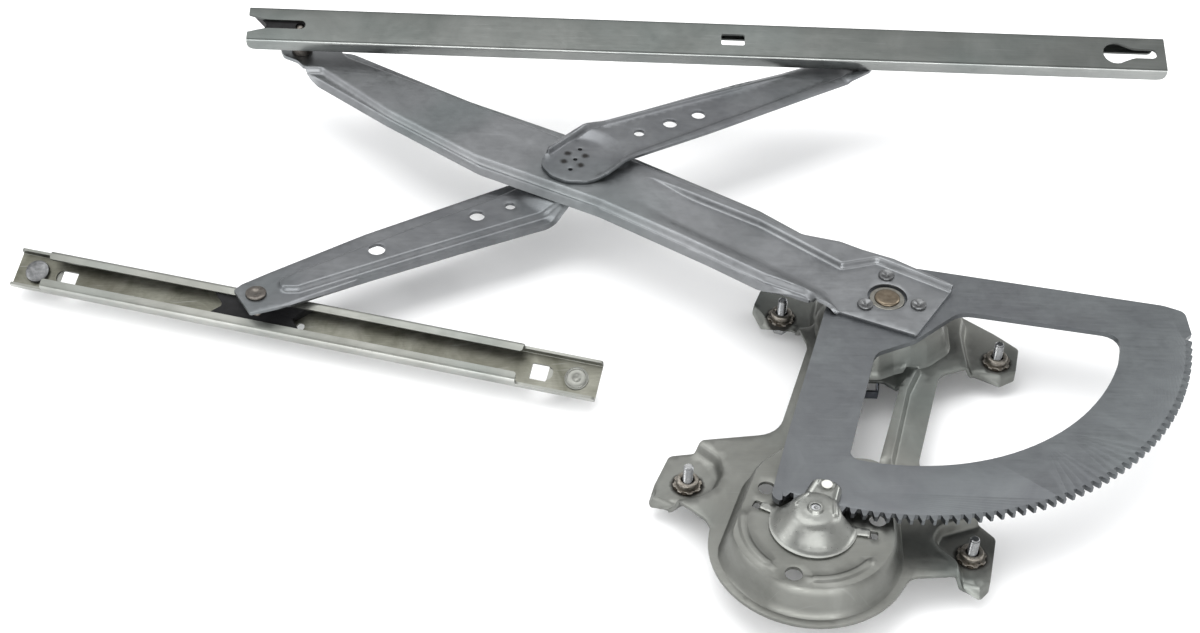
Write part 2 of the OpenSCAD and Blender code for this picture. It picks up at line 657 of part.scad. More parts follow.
lower_flange = rounded([[25, -24, 6], [84, -20.5, 20], [arm_half - 55, -17.1, 20],
    [arm_half - 12, -16.2, 8], [arm_half + 9, -12.4, 4], [arm_half + 9, 8, 3],
    [arm_half + 3.5, 10.8, 3], [arm_half - 12, 12.6, 8], [arm_half - 72, 17.2, 20],
    [32, 18, 6], [24, 16, 2]], 4);
lower_panel = rounded([[31, -17.6, 3], [arm_half - 86, -13, 20], [arm_half - 20, -10.4, 8],
    [arm_half - 11.5, -2, 6], [arm_half - 23, 5, 6], [arm_half - 96, 9.6, 20], [31, 12, 3]], 4);
lower_lip = [[27, -22.4], [84, -18.9], [arm_half - 55, -15.5], [arm_half - 24, -14.9]];
lower_rise = 3;
// Slope from the pad down to the raised panel
slope_start = 19.5;
slope_end = 35;
slope_drop = lower_pad_z - tongue_z - lower_rise;
slope_a = atan(slope_drop / (slope_end - slope_start));
module lower_equalizer_arm() {
    color("#8b8e91") lower_axes() difference() {
        union() {
            rod(joint_pad_r, lower_pad_z, lower_pad_z + eq_t, 64);
            slab([[10, -17], [slope_start, -18], [slope_start, 15], [10, 15]], lower_pad_z, eq_t);
            intersection() {
                slab([[slope_start - 1, -18], [36, -17.6], [36, 12], [slope_start - 1, 15]], tongue_z, 12);
                translate([slope_start - 0.4, -30, lower_pad_z]) rotate([0, slope_a, 0])
                    cube([(slope_end - slope_start + 0.4) / cos(slope_a), 60, eq_t]);
            }
            difference() {
                slab(lower_flange, tongue_z, eq_t);
                slab(inset(lower_panel, eq_t), tongue_z - 1, eq_t + 2);
            }
            pressing(lower_panel, tongue_z, lower_rise, eq_t);
            slab(band(lower_lip, 1.6), tongue_z - 2, 2.5);
        }
        translate([43.3, -2.3, 0]) rod(3, 0, 35);
        translate([63.7, -1.1, 0]) rod(4.3, 0, 35);
        translate([arm_half - 70.7, -0.6, 0]) rod(4.7, 0, 35);
        translate([arm_half, 0, 0]) rod(stud_shank_r + run, 0, 35);
    }
}

module equalizer_hub() {
    color("#77797c") on_joint() rod(joint_hub_r, lower_pad_z + eq_t, upper_pad_z);
}

// Slider in its channel's axes: the web lies below, the arm side is up
module slider(w) {
    half_w = w / 2 - channel_t - slider_gap;
    tip = slider_len / 2;
    notch = 9;
    outline = [[-tip, -half_w], [tip, -half_w], [tip - notch, -0.8], [tip - notch, 0.8],
        [tip, half_w], [-tip, half_w], [notch - tip, 0.8], [notch - tip, -0.8]];
    difference() {
        slab(outline, -web_in + slider_gap, web_in - lip_in - 2 * slider_gap);
        sphere(r = ball_r + 0.08, $fn = 36);
        rod(ball_r * 0.75, -web_in - 1, 0);
    }
}
module slider_up(w, roll, turn) {
    color("#1d1d1f") rotate([0, 0, turn]) difference() {
        rotate([roll, 0, 0]) slider(w);
        cylinder(r = neck_r + 0.45, h = 14);
    }
}
module slider_down(w, roll, turn) {
    color("#1d1d1f") rotate([0, 0, turn]) difference() {
        rotate([roll, 0, 0]) mirror([0, 0, 1]) slider(w);
        translate([0, 0, -14]) cylinder(r = neck_r + 0.45, h = 14);
    }
}
module main_arm_slider() at(r1) translate([0, 0, sash_ball_z]) slider_down(sash_w, sash_roll, 0);
module upper_arm_slider() at(r3) translate([0, 0, sash_ball_z]) slider_down(sash_w, sash_roll, 0);
module lower_arm_slider() at(r2) translate([0, 0, guide_ball_z]) slider_up(guide_w, guide_roll, guide_turn);

// Channel in its own axes, from x0 to x1, with lips from l0 to l1 and lower legs elsewhere
module channel(w, x0, x1, l0, l1, low) {
    wall_h = channel_h - channel_t;
    translate([x0, -w / 2, -web_in - channel_t]) cube([x1 - x0, w, channel_t]);
    for (s = [-1, 1]) {
        side = s < 0 ? -w / 2 : w / 2 - channel_t;
        translate([x0, side, -web_in - channel_t]) cube([x1 - x0, channel_t, channel_t + low]);
        translate([l0, side, -web_in - channel_t]) cube([l1 - l0, channel_t, channel_h]);
        lip = w / 2 - lip_gap;
        translate([l0, s < 0 ? -w / 2 : w / 2 - lip, -web_in - channel_t + wall_h])
            cube([l1 - l0, lip, channel_t]);
    }
}
module key_cut(r, z) translate([0, 0, z]) cylinder(r = r, h = 3);
module sash_channel() {
    x0 = -sash_over;
    x1 = sash_len - sash_over;
    color("#6f716f") at(r1) translate([0, 0, sash_ball_z]) rotate([sash_roll, 0, 0]) mirror([0, 0, 1])
        difference() {
            channel(sash_w, x0, x1, x0, x1, channel_h - channel_t);
            slab([[x0 - 1, -6.4], [x0 + 8, -3.9], [x0 + 11.5, -fork_r], [x0 + fork_depth, -fork_r],
                [x0 + fork_depth, fork_r], [x0 + 11.5, fork_r], [x0 + 8, 3.9], [x0 - 1, 6.4]], web_out - 1, 3);
            translate([x0 + fork_depth, 0, 0]) key_cut(fork_r, web_out - 1);
            slab(rounded([[251, -4, 1], [265, -4, 1], [265, 4, 1], [251, 4, 1]]), web_out - 1, 3);
            translate([x1 - key_from_end, 0, 0]) {
                key_cut(key_r, web_out - 1);
                slab([[0, -key_slot_r], [key_slot_len, -key_slot_r], [key_slot_len, key_slot_r],
                    [0, key_slot_r]], web_out - 1, 3);
                slab([[key_r / 2, -key_r * 0.86], [key_taper, -key_slot_r], [key_taper, key_slot_r],
                    [key_r / 2, key_r * 0.86]], web_out - 1, 3);
                translate([key_slot_len, 0, 0]) key_cut(key_slot_r, web_out - 1);
            }
        }
}

module in_guide() at(r2) translate([0, 0, guide_ball_z]) rotate([0, 0, guide_turn]) rotate([guide_roll, 0, 0])
    translate([-guide_over, 0, 0]) children();
module guide_channel() {
    color("#98998f") in_guide() difference() {
        channel(guide_w, 0, guide_len, lip_start, lip_end, 4);
        for (x = [guide_stud_in, guide_len - guide_stud_in])
            translate([x, 0, web_out - 1]) cylinder(r = stud_hole_r + run, h = 5);
        for (x = [30, guide_len - 32]) translate([x - 4.5, -5, web_out - 1]) cube([9, 9, 4]);
        translate([guide_len / 2, -1.5, web_out - 1]) cylinder(r = 2.2, h = 4);
    }
}
module guide_stud(x, head_r, head_h, tail) {
    in_guide() translate([x, 0, 0]) {
        rod(stud_hole_r, web_out - eps, -web_in + eps);
        rod(head_r, -web_in, -web_in + head_h);
        rod(7, web_out - 1.5, web_out);
        rod(guide_stud_r, web_out - tail, web_out - 1.5 + eps);
    }
}
module guide_stud_left() color("#7e8082") guide_stud(guide_stud_in, 6.5, 2.4, 12);
module guide_stud_right() color("#8a8b85") guide_stud(guide_len - guide_stud_in, 6.4, 0.5, 12);

module drive_pinion() {
    color("#54565a") difference() {
        at([pinion_x, pinion_y]) {
            slab([for (k = [0:pinion_teeth - 1])
                each tooth(mesh_dir + 180 + (k + 0.5) * 360 / pinion_teeth, pinion_teeth, shift,
                    pinion_root_r, pinion_tip_r)], pinion_z, pinion_h);
            rod(pinion_shank_r, pinion_bottom, pinion_z + eps);
            rod(9, dome_top_z + play, pinion_z);
            rod(3.6, pinion_z + pinion_h - eps, cover_top_z - cover_t - 0.2);
            rod(pinion_pin_r, cover_top_z - cover_t - 0.21, cover_top_z + 0.7);
        }
        at([pinion_x, pinion_y]) for (a = [0, 60]) rotate([0, 0, a])
            translate([0, 0, pinion_bottom - 1]) cylinder(r = 4.2, h = 12, $fn = 3);
    }
}

backplate();
weld_nuts();
mounting_bolts();
pivot_bush();
pinion_cover();
guide_button();
counterbalance_spring();
sector_gear();
main_arm();
sector_rivets();
pivot_shaft();
shaft_collar();
thrust_washer();
shaft_retaining_ring();
main_arm_ball_stud();
upper_equalizer_arm();
lower_equalizer_arm();
equalizer_hub();
upper_arm_ball_stud();
lower_arm_ball_stud();
main_arm_slider();
upper_arm_slider();
lower_arm_slider();
sash_channel();
guide_channel();
guide_stud_left();
guide_stud_right();
drive_pinion();
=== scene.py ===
# %% [markdown]
# # A cross-arm window regulator, dressed in Blender
# The regulator lifts a car door's glass: a toothed sector turns a long pressed arm, and a second,
# two-part arm crosses it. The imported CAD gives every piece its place. Here each piece gets the
# shape and finish that the press, the punch and the zinc bath leave on the real one.

# %% Load the frame
import math

import bmesh
import bpy
import numpy as np
from mathutils import Matrix, Vector
from mathutils.geometry import delaunay_2d_cdt


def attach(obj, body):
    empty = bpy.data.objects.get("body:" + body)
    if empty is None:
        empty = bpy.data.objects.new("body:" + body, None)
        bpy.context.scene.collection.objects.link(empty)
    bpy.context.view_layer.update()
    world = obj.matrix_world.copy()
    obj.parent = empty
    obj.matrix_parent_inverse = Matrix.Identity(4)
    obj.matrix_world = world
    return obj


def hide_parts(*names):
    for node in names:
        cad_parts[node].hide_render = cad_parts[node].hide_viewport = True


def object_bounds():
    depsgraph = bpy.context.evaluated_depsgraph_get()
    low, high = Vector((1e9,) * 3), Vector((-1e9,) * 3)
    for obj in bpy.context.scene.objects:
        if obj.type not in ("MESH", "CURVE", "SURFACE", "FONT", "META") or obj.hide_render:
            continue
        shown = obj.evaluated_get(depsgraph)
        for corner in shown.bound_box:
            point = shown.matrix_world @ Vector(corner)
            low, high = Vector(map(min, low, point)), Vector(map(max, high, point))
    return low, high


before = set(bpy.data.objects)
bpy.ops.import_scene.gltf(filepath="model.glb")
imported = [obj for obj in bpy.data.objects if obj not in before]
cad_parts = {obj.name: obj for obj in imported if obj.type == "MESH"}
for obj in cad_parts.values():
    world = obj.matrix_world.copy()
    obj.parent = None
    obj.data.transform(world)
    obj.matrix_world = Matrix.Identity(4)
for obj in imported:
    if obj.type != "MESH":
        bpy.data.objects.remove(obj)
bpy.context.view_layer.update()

MM = 0.001

# %% [markdown]
# ## Outlines
# A pressing is drawn as a toolmaker draws its blank: corners with a radius at each. The helpers
# below round the corners, add points along the sides, move an outline inwards and measure how far
# a point lies inside it. Everything is in millimetres until a mesh is made.

# %% Outline helpers
def rounded(corners, steps=6):
    """Closed outline from corners (x, y, radius)."""
    points = []
    for i, (bx, by, radius) in enumerate(corners):
        b = np.array([bx, by], float)
        a = np.array(corners[i - 1][:2], float) - b
        c = np.array(corners[(i + 1) % len(corners)][:2], float) - b
        if radius == 0:
            points.append(b)
            continue
        u, v = a / np.linalg.norm(a), c / np.linalg.norm(c)
        half = math.acos(max(-1, min(1, float(u @ v)))) / 2
        reach = min(radius / math.tan(half), 0.49 * np.linalg.norm(a), 0.49 * np.linalg.norm(c))
        r = reach * math.tan(half)
        centre = b + (u + v) / np.linalg.norm(u + v) * r / math.sin(half)
        start, end = b + u * reach - centre, b + v * reach - centre
        first = math.atan2(start[1], start[0])
        turn = (math.atan2(end[1], end[0]) - first + math.pi) % (2 * math.pi) - math.pi
        for k in range(steps + 1):
            angle = first + turn * k / steps
            points.append(centre + r * np.array([math.cos(angle), math.sin(angle)]))
    return np.array(points)


def ring(x, y, radius, count=48, start=0.0, end=360.0):
    """Points round a circle, or along an arc of it."""
    whole = abs(end - start) >= 360
    angles = np.radians(np.linspace(start, end, count, endpoint=not whole))
    return np.column_stack([x + radius * np.cos(angles), y + radius * np.sin(angles)])


def looped(line):
    return np.vstack([line, line[:1]])


def with_points(line, step, closed=True):
    """The same line with points no further apart than step."""
    out = []
    for i in range(len(line) if closed else len(line) - 1):
        a, b = line[i], line[(i + 1) % len(line)]
        n = max(1, math.ceil(np.linalg.norm(b - a) / step))
        out += [a + (b - a) * k / n for k in range(n)]
    return np.array(out if closed else out + [line[-1]])


def moved_in(outline, d):
    """Outline moved inwards by d (outwards if d is negative); it runs anticlockwise."""
    before, after = np.roll(outline, 1, 0), np.roll(outline, -1, 0)
    u = (outline - before) / np.linalg.norm(outline - before, axis=1, keepdims=True)
    v = (after - outline) / np.linalg.norm(after - outline, axis=1, keepdims=True)
    m = u + v
    m /= np.linalg.norm(m, axis=1, keepdims=True)
    side = np.column_stack([-m[:, 1], m[:, 0]])
    lean = np.maximum(0.5, side[:, 0] * -u[:, 1] + side[:, 1] * u[:, 0])
    return outline + side * (d / lean)[:, None]


def nearest(points, line, closed):
    """Of each point its distance from a line, the nearest stretch's number and the share of it passed."""
    a = line if closed else line[:-1]
    ab = (np.roll(line, -1, 0) if closed else line[1:]) - a
    t = ((points[:, None] - a) * ab).sum(2) / np.maximum((ab ** 2).sum(1), 1e-12)
    t = np.clip(t, 0, 1)
    gap = np.sqrt(((points[:, None] - a - t[..., None] * ab) ** 2).sum(2))
    row, best = np.arange(len(points)), gap.argmin(1)
    return gap[row, best], best, t[row, best]


def distance(points, line, closed=True):
    return nearest(points, line, closed)[0]


def along(points, line, values):
    """Distance from an open line, and the value that the line has at the nearest place."""
    gap, number, share = nearest(points, line, False)
    values = np.asarray(values, float)
    return gap, values[number] + share * (values[number + 1] - values[number])


def is_inside(points, outline):
    a, b = outline, np.roll(outline, -1, 0)
    x, y = points[:, 0][:, None], points[:, 1][:, None]
    crosses = (a[None, :, 1] > y) != (b[None, :, 1] > y)
    rise = np.where(b[:, 1] == a[:, 1], 1e-12, b[:, 1] - a[:, 1])
    at = a[None, :, 0] + (y - a[None, :, 1]) / rise[None] * (b - a)[None, :, 0]
    return (crosses & (x < at)).sum(1) % 2 == 1


def depth(points, outline):
    """Distance inside an outline, negative outside it."""
    return np.where(is_inside(points, outline), 1, -1) * distance(points, outline)


def fold(t, blend=0.35):
    """0 to 1 as a pressed step rises: a straight wall with a radius at each end."""
    t = np.clip(t, 0, 1)
    slope = 1 / (1 - blend)
    low = slope * t ** 2 / (2 * blend)
    high = 1 - slope * (1 - t) ** 2 / (2 * blend)
    return np.where(t < blend, low, np.where(t > 1 - blend, high, slope * (t - blend / 2)))


def step_in(points, outline, foot, crest, blend=0.35):
    """0 outside an outline and 1 inside it, rising between two depths."""
    return fold((depth(points, outline) - foot) / (crest - foot), blend)


def step_lines(outline, foot, crest, step=2.2, guards=()):
    """The lines along which a mesh needs its points, so that the step's radii stay smooth.
    Guards are lines just beyond foot and crest, which keep the flat sheet beside them flat."""
    return [looped(with_points(moved_in(outline, foot + (crest - foot) * t), step))
            for t in (0, 0.18, 0.35, 0.5, 0.65, 0.82, 1, *guards)]


def heading(degrees):
    """Unit vector at this angle, and the one square to it on its left."""
    x, y = math.cos(math.radians(degrees)), math.sin(math.radians(degrees))
    return np.array([x, y]), np.array([-y, x])


def own_axes(origin, out, side):
    """Two functions that turn places along and across an arm into the part's own x and y, and back."""
    def outward(p):
        p = np.asarray(p, float)
        return origin + p[..., :1] * out + p[..., 1:] * side

    def back(p):
        return np.column_stack([(p - origin) @ out, (p - origin) @ side])
    return outward, back


# %% [markdown]
# ## Pressing a sheet
# Real sheet parts start as a flat blank that a press tool forms. The same order works here: the
# blank is meshed flat, with mesh lines where the tool will bend it, every point is then lifted to
# the tool's height, and a Solidify modifier gives the sheet its gauge. Sculpting from a primitive
# would lose the straight bend lines, so the flat mesh comes from Blender's own Delaunay tool.

# %% Blank, press and gauge
def only(obj):
    bpy.ops.object.select_all(action="DESELECT")
    obj.select_set(True)
    bpy.context.view_layer.objects.active = obj


def apply_all(obj):
    only(obj)
    for modifier in list(obj.modifiers):
        bpy.ops.object.modifier_apply(modifier=modifier.name)


def smooth(obj, angle=35):
    only(obj)
    bpy.ops.object.shade_smooth_by_angle(angle=math.radians(angle))
    return obj


def broken_edges(obj, width, angle=50, segments=2, smooth_to=20):
    """Small radius on every edge sharper than the angle."""
    bevel = obj.modifiers.new("edges", "BEVEL")
    bevel.width, bevel.segments, bevel.limit_method = width * MM, segments, "ANGLE"
    bevel.angle_limit, bevel.use_clamp_overlap = math.radians(angle), True
    apply_all(obj)
    return smooth(obj, smooth_to)


def linked(name, data):
    """A new object in the scene."""
    obj = bpy.data.objects.new(name, data)
    bpy.context.scene.collection.objects.link(obj)
    return obj


def new_object(name, vertices, faces):
    mesh = bpy.data.meshes.new(name)
    mesh.from_pydata([tuple(v) for v in vertices], [], [tuple(f) for f in faces])
    mesh.update()
    return linked(name, mesh)


def pressed(name, outlines, holes, lines, height, gauge, cell=4.0, rim=0.2):
    """Sheet part: outlines are joined, holes cut out, and height(points) gives its upper face."""
    loops = [with_points(o, 2.5) for o in outlines]
    cuts = [with_points(h, 2.0) for h in holes]
    mesh_lines = [looped(line) for line in loops + cuts] + lines
    low, high = np.vstack(loops).min(0), np.vstack(loops).max(0)
    gx = np.arange(low[0] - cell, high[0] + cell, cell)
    gy = np.arange(low[1] - cell, high[1] + cell, cell * 0.866)
    grid = np.array([(x + (j % 2) * cell / 2, y) for j, y in enumerate(gy) for x in gx])
    free = np.ones(len(grid), bool)
    for line in mesh_lines:
        box = (grid > line.min(0) - cell).all(1) & (grid < line.max(0) + cell).all(1)
        free[np.where(box)[0][distance(grid[box], line, False) < cell * 0.45]] = False
    points, edges = [], []
    for line in mesh_lines:
        first = len(points)
        points += list(line)
        edges += [(first + i, first + i + 1) for i in range(len(line) - 1)]
    points += list(grid[free])
    flat, _, faces, _, _, _ = delaunay_2d_cdt([Vector(p) for p in points], edges, [], 0, 1e-4)
    flat = np.array([(p[0], p[1]) for p in flat])
    faces = np.array([f for f in faces if len(f) == 3])
    middle = flat[faces].mean(1)
    keep = np.zeros(len(faces), bool)
    for loop in loops:
        keep |= is_inside(middle, loop)
    for cut in cuts:
        keep &= ~is_inside(middle, cut)
    faces = faces[keep]
    e1, e2 = flat[faces[:, 1]] - flat[faces[:, 0]], flat[faces[:, 2]] - flat[faces[:, 0]]
    area = e1[:, 0] * e2[:, 1] - e1[:, 1] * e2[:, 0]
    faces = faces[np.abs(area) > 1e-5]
    area = area[np.abs(area) > 1e-5]
    faces[area < 0] = faces[area < 0][:, ::-1]
    used = np.unique(faces)
    index = np.zeros(len(flat), int)
    index[used] = np.arange(len(used))
    flat, faces = flat[used], index[faces]
    obj = new_object(name, np.column_stack([flat, height(flat)]) * MM, faces)
    solid = obj.modifiers.new("gauge", "SOLIDIFY")
    solid.thickness, solid.offset = gauge * MM, -1
    solid.use_even_offset, solid.use_quality_normals = True, True
    # the rims take the second material: bare cut edge with a painted highlight
    solid.material_offset_rim = 1
    apply_all(obj)
    broken_edges(obj, rim, 55, smooth_to=35)
    print(name, "has", len(obj.data.polygons), "faces")
    return obj
# %% [markdown]
# ## Places
# The two arms cross at their middles, and all four half-arms are equally long. The arms' outlines
# are drawn along and across each arm, so three pairs of functions lay them into the part. The
# pinion, the four bolts and the arms' studs stand where the CAD has them.

# %% Places of the joints
ARM_TILT, GUIDE_TURN, HALF = 31.92, -13.6, 196.0
# gauge of the bracket and the short arms, then the heights of the upper arm's pad and floor
SHEET_T, PAD_TOP, FLOOR_TOP = 1.8, 37.3, 40.0
out, side = heading(-ARM_TILT)
from_main, to_main = own_axes(np.zeros(2), -out, side)
CENTRE = from_main((HALF, 0))
out, side = heading(ARM_TILT)
from_upper, to_upper = own_axes(CENTRE, out, side)
from_lower, to_lower = own_axes(CENTRE, -out, side)
PIVOT_STUDS = {"main": 2 * CENTRE, "upper": np.array([0, 2 * CENTRE[1]]),
               "lower": np.array([2 * CENTRE[0], 0])}
PINION = np.array([-49.729, -157.721])
MOUNTS = [(-52.5, 14.7), (60.1, -15.6), (-106.4, -113.2), (28.3, -155.4)]
print("the arms cross at", CENTRE.round(1), "mm")

# %% [markdown]
# ## Finishes
# Nearly every piece is steel sheet, galvanised in the coil and then pressed. Zinc is a soft grey
# mirror under a film of oxide: its colour wanders over a few centimetres, rolling leaves a fine
# grain along the coil, and handling leaves a few short scratches. Each finish is built from those.

# %% Material helpers
def linear(code):
    """sRGB hex to the linear colour that a shader takes."""
    parts = [int(code[i:i + 2], 16) / 255 for i in (0, 2, 4)]
    return tuple(c / 12.92 if c <= 0.04045 else ((c + 0.055) / 1.055) ** 2.4 for c in parts) + (1.0,)


def feed(tree, node, inputs):
    """Gives each named socket of a node a value, or a link from another node or from its socket."""
    for key, value in dict(inputs).items():
        if isinstance(value, bpy.types.Node):
            value = next(socket for socket in value.outputs if socket.enabled)
        if isinstance(value, bpy.types.NodeSocket):
            tree.links.new(value, node.inputs[key])
        else:
            node.inputs[key].default_value = value


def add(tree, kind, inputs=(), **settings):
    """One node with its settings and inputs."""
    node = tree.nodes.new("ShaderNode" + kind)
    for key, value in settings.items():
        setattr(node, key, value)
    feed(tree, node, inputs)
    return node


def blank_material(name, metal=1.0):
    """Material, its node tree, its shader, and the place on the piece in millimetres."""
    material = bpy.data.materials.new(name)
    material.use_nodes = True
    tree = material.node_tree
    shader = tree.nodes["Principled BSDF"]
    shader.inputs["Metallic"].default_value = metal
    place = add(tree, "TexCoord").outputs["Object"]
    mm = add(tree, "Mapping", {"Vector": place, "Scale": (1000, 1000, 1000)})
    return material, tree, shader, mm


def zinc(name, dark, light, grain_at=0.0, rough=0.36, grain=0.5, cloud_mm=38, scratches=0.05,
         stains=(), stain_mm=4.0, stain_soft=4.0, tint="5f6c6b", tint_share=0.3):
    """Galvanised sheet; grain_at is the rolling direction in degrees, seen from above."""
    material, tree, shader, mm = blank_material(name)
    turned = (0, 0, math.radians(-grain_at))
    coil = add(tree, "Mapping", {"Vector": mm, "Rotation": turned, "Scale": (0.045, 1.0, 1.0)})
    # the oxide film: clouds a few centimetres wide, and wider patches of a colder tint
    cloud = add(tree, "TexNoise", {"Vector": mm, "Scale": 1 / cloud_mm, "Detail": 4.0, "Roughness": 0.62,
                                   "Distortion": 0.6})
    share = add(tree, "MapRange", {0: cloud, 1: 0.28, 2: 0.72})
    colour = add(tree, "Mix", {0: share, 6: linear(dark), 7: linear(light)}, data_type="RGBA")
    patch = add(tree, "TexNoise", {"Vector": mm, "Scale": 1 / 90, "Detail": 2.0})
    share = add(tree, "MapRange", {0: patch, 1: 0.5, 2: 0.68, 4: tint_share})
    colour = add(tree, "Mix", {0: share, 6: colour, 7: linear(tint)}, data_type="RGBA")
    # rolling grain, 0.9 mm apart: the real 0.1 mm would not show at this distance
    lines = add(tree, "TexNoise", {"Vector": coil, "Scale": 1 / 0.9, "Detail": 3.0, "Roughness": 0.7})
    # zinc spangle, crystals 3.5 mm wide that differ by a few per cent
    spangle = add(tree, "TexVoronoi", {"Vector": mm, "Scale": 1 / 3.5})
    crystal = add(tree, "SeparateColor", {"Color": spangle.outputs["Color"]})
    for tone, low, high, least in ((lines, 0.3, 0.7, 1 - 0.14 * grain), (crystal, 0.0, 1.0, 0.955)):
        share = add(tree, "MapRange", {0: tone, 1: low, 2: high, 3: least})
        colour = add(tree, "Mix", {0: 1.0, 6: colour, 7: share}, data_type="RGBA", blend_type="MULTIPLY")
    # handling scratches at two slants, each a thin stretched noise
    for slant in (17, -38):
        turned = (0, 0, math.radians(slant - grain_at))
        thin = add(tree, "Mapping", {"Vector": mm, "Rotation": turned, "Scale": (0.05, 2.2, 0.05)})
        line = add(tree, "TexNoise", {"Vector": thin, "Scale": 0.6, "Detail": 1.0})
        share = add(tree, "MapRange", {0: line, 1: 0.72, 2: 0.76, 4: scratches})
        colour = add(tree, "Mix", {0: share, 6: colour, 7: linear("b4b6b6")}, data_type="RGBA")
    roughness = add(tree, "MapRange", {0: lines, 1: 0.3, 2: 0.7, 3: rough - 0.06, 4: rough + 0.08})
    roughness = add(tree, "Math", {0: crystal, 1: 0.07, 2: roughness}, operation="MULTIPLY_ADD")
    if stains:
        # burnt film round each weld, ragged at its edge
        gaps = [add(tree, "VectorMath", {0: mm, 1: spot}, operation="DISTANCE") for spot in stains]
        edge = gaps[0]
        for gap in gaps[1:]:
            edge = add(tree, "Math", {0: edge, 1: gap}, operation="MINIMUM")
        ragged = add(tree, "TexNoise", {"Vector": mm, "Scale": 0.45, "Detail": 4.0})
        reach = add(tree, "Math", {0: ragged, 1: -0.9 * stain_soft, 2: edge}, operation="MULTIPLY_ADD")
        mark = add(tree, "MapRange", {0: reach, 1: stain_mm - stain_soft, 2: stain_mm, 3: 0.85, 4: 0.0})
        colour = add(tree, "Mix", {0: mark, 6: colour, 7: linear("1f1b17")}, data_type="RGBA")
        roughness = add(tree, "Math", {0: mark, 1: 0.35, 2: roughness}, operation="MULTIPLY_ADD")
    relief = add(tree, "Math", {0: lines, 1: 0.2, 2: cloud}, operation="MULTIPLY_ADD")
    bump = add(tree, "Bump", {"Height": relief, "Strength": 0.22, "Distance": 0.0002})
    feed(tree, shader, {"Base Color": colour, "Roughness": roughness, "Normal": bump})
    return material


def mottled(name, dark, light, size_mm, rough, metal=1.0, relief_mm=0.03):
    """Cast, turned or moulded stuff: two tones in specks of a given size, and a fine surface relief."""
    material, tree, shader, mm = blank_material(name, metal)
    speck = add(tree, "TexNoise", {"Vector": mm, "Scale": 1 / size_mm, "Detail": 5.0, "Roughness": 0.65})
    share = add(tree, "MapRange", {0: speck, 1: 0.3, 2: 0.7})
    colour = add(tree, "Mix", {0: share, 6: linear(dark), 7: linear(light)}, data_type="RGBA")
    roughness = add(tree, "MapRange", {0: speck, 1: 0.3, 2: 0.7, 3: rough + 0.08, 4: rough - 0.06})
    bump = add(tree, "Bump", {"Height": speck, "Strength": 0.4, "Distance": relief_mm * MM})
    feed(tree, shader, {"Base Color": colour, "Roughness": roughness, "Normal": bump})
    return material


# %% [markdown]
# The sheet finishes differ by coil: the arms are bright, the bracket is duller after its deep draw
# and scorched round its welded nuts, the glass rail is darker, and the guide rail is worn inside and
# darker there as painted shade under its lips.
# The turned and moulded pieces are steel as it comes from the lathe, sintered bronze and nylon.

# %% The finishes
# bright galvanised sheet of the main arm, rolled along its length
ARM_ZINC = zinc("galvanised_arm_sheet", "707274", "8a8c8e", grain_at=-ARM_TILT)
# the crossing arm, laid along its own length; four spot welds burnt its upper pad
weld_spots = [(*from_upper(spot), PAD_TOP)
              for spot in ((-0.4, 7.7), (6.9, 0.8), (-6.3, 2.3), (0.2, -5.3))]
PAD_ZINC = zinc("galvanised_arm_sheet_welded", "65676a", "7d7f81", grain_at=ARM_TILT, stains=weld_spots,
                stain_mm=2.1, stain_soft=1.8)
EQUAL_ZINC = zinc("galvanised_arm_sheet_plain", "65676a", "7d7f81", grain_at=ARM_TILT)
nut_spots = [(*spot, SHEET_T) for spot in MOUNTS]
BRACKET_ZINC = zinc("galvanised_bracket_sheet", "676864", "7e7f7b", grain_at=70, rough=0.4, grain=0.3,
                    stains=nut_spots, stain_mm=8.4, stain_soft=1.8)
# the cover is thinner sheet of the same kind, polished by its draw
COVER_ZINC = zinc("galvanised_cover_sheet", "787a77", "92938f", grain_at=20, rough=0.3, grain=0.2)
# the sector is blanked from thick cold-rolled strip, plain and slightly blue
SECTOR_ZINC = zinc("cold_rolled_sector_plate", "606265", "6d7072", grain_at=55, rough=0.42, grain=0.8,
                   cloud_mm=24, tint_share=0.1)
# the glass rail's zinc is darker, the guide rail's is warmer and worn by its slider; the sliding face is
# also darker as painted shade under the lips
SASH_ZINC = zinc("galvanised_glass_rail_sheet", "525553", "636563", grain_at=0, rough=0.38, grain=1.0,
                 tint_share=0.15)
GUIDE_ZINC = zinc("galvanised_guide_rail_sheet", "73746f", "8d8e89", grain_at=GUIDE_TURN, rough=0.38,
                  grain=1.0)
WORN_AND_SHADED_ZINC = zinc("sliding_face_zinc_worn_and_painted_shade", "57574d", "7f7f76", grain_at=GUIDE_TURN, rough=0.4,
                 grain=2.2, cloud_mm=16, scratches=0.2, tint="4a483f", tint_share=0.6)
# the near legs of both rails are painted lighter: a painted reflection of the pale floor below them
NEAR_LEG_PAINTED_REFLECTION = zinc("guide_near_leg_zinc_painted_floor_reflection", "a9aaa5", "c2c3bf", grain_at=GUIDE_TURN, rough=0.3, grain=0.8)
GLASS_RAIL_LEG_PAINTED_REFLECTION = zinc("glass_rail_near_leg_zinc_painted_floor_reflection", "8a8d8b", "9ea09e", grain_at=0, rough=0.3, grain=0.8)
# sheared edges show bare steel, streaked across the gauge, and their light colour is also a painted
# highlight along the rims
CUT_EDGE_AND_HIGHLIGHT = zinc("sheared_steel_edge_and_painted_highlight", "9a9b9b", "c4c5c4", rough=0.3, grain=1.0, cloud_mm=6, scratches=0.0)
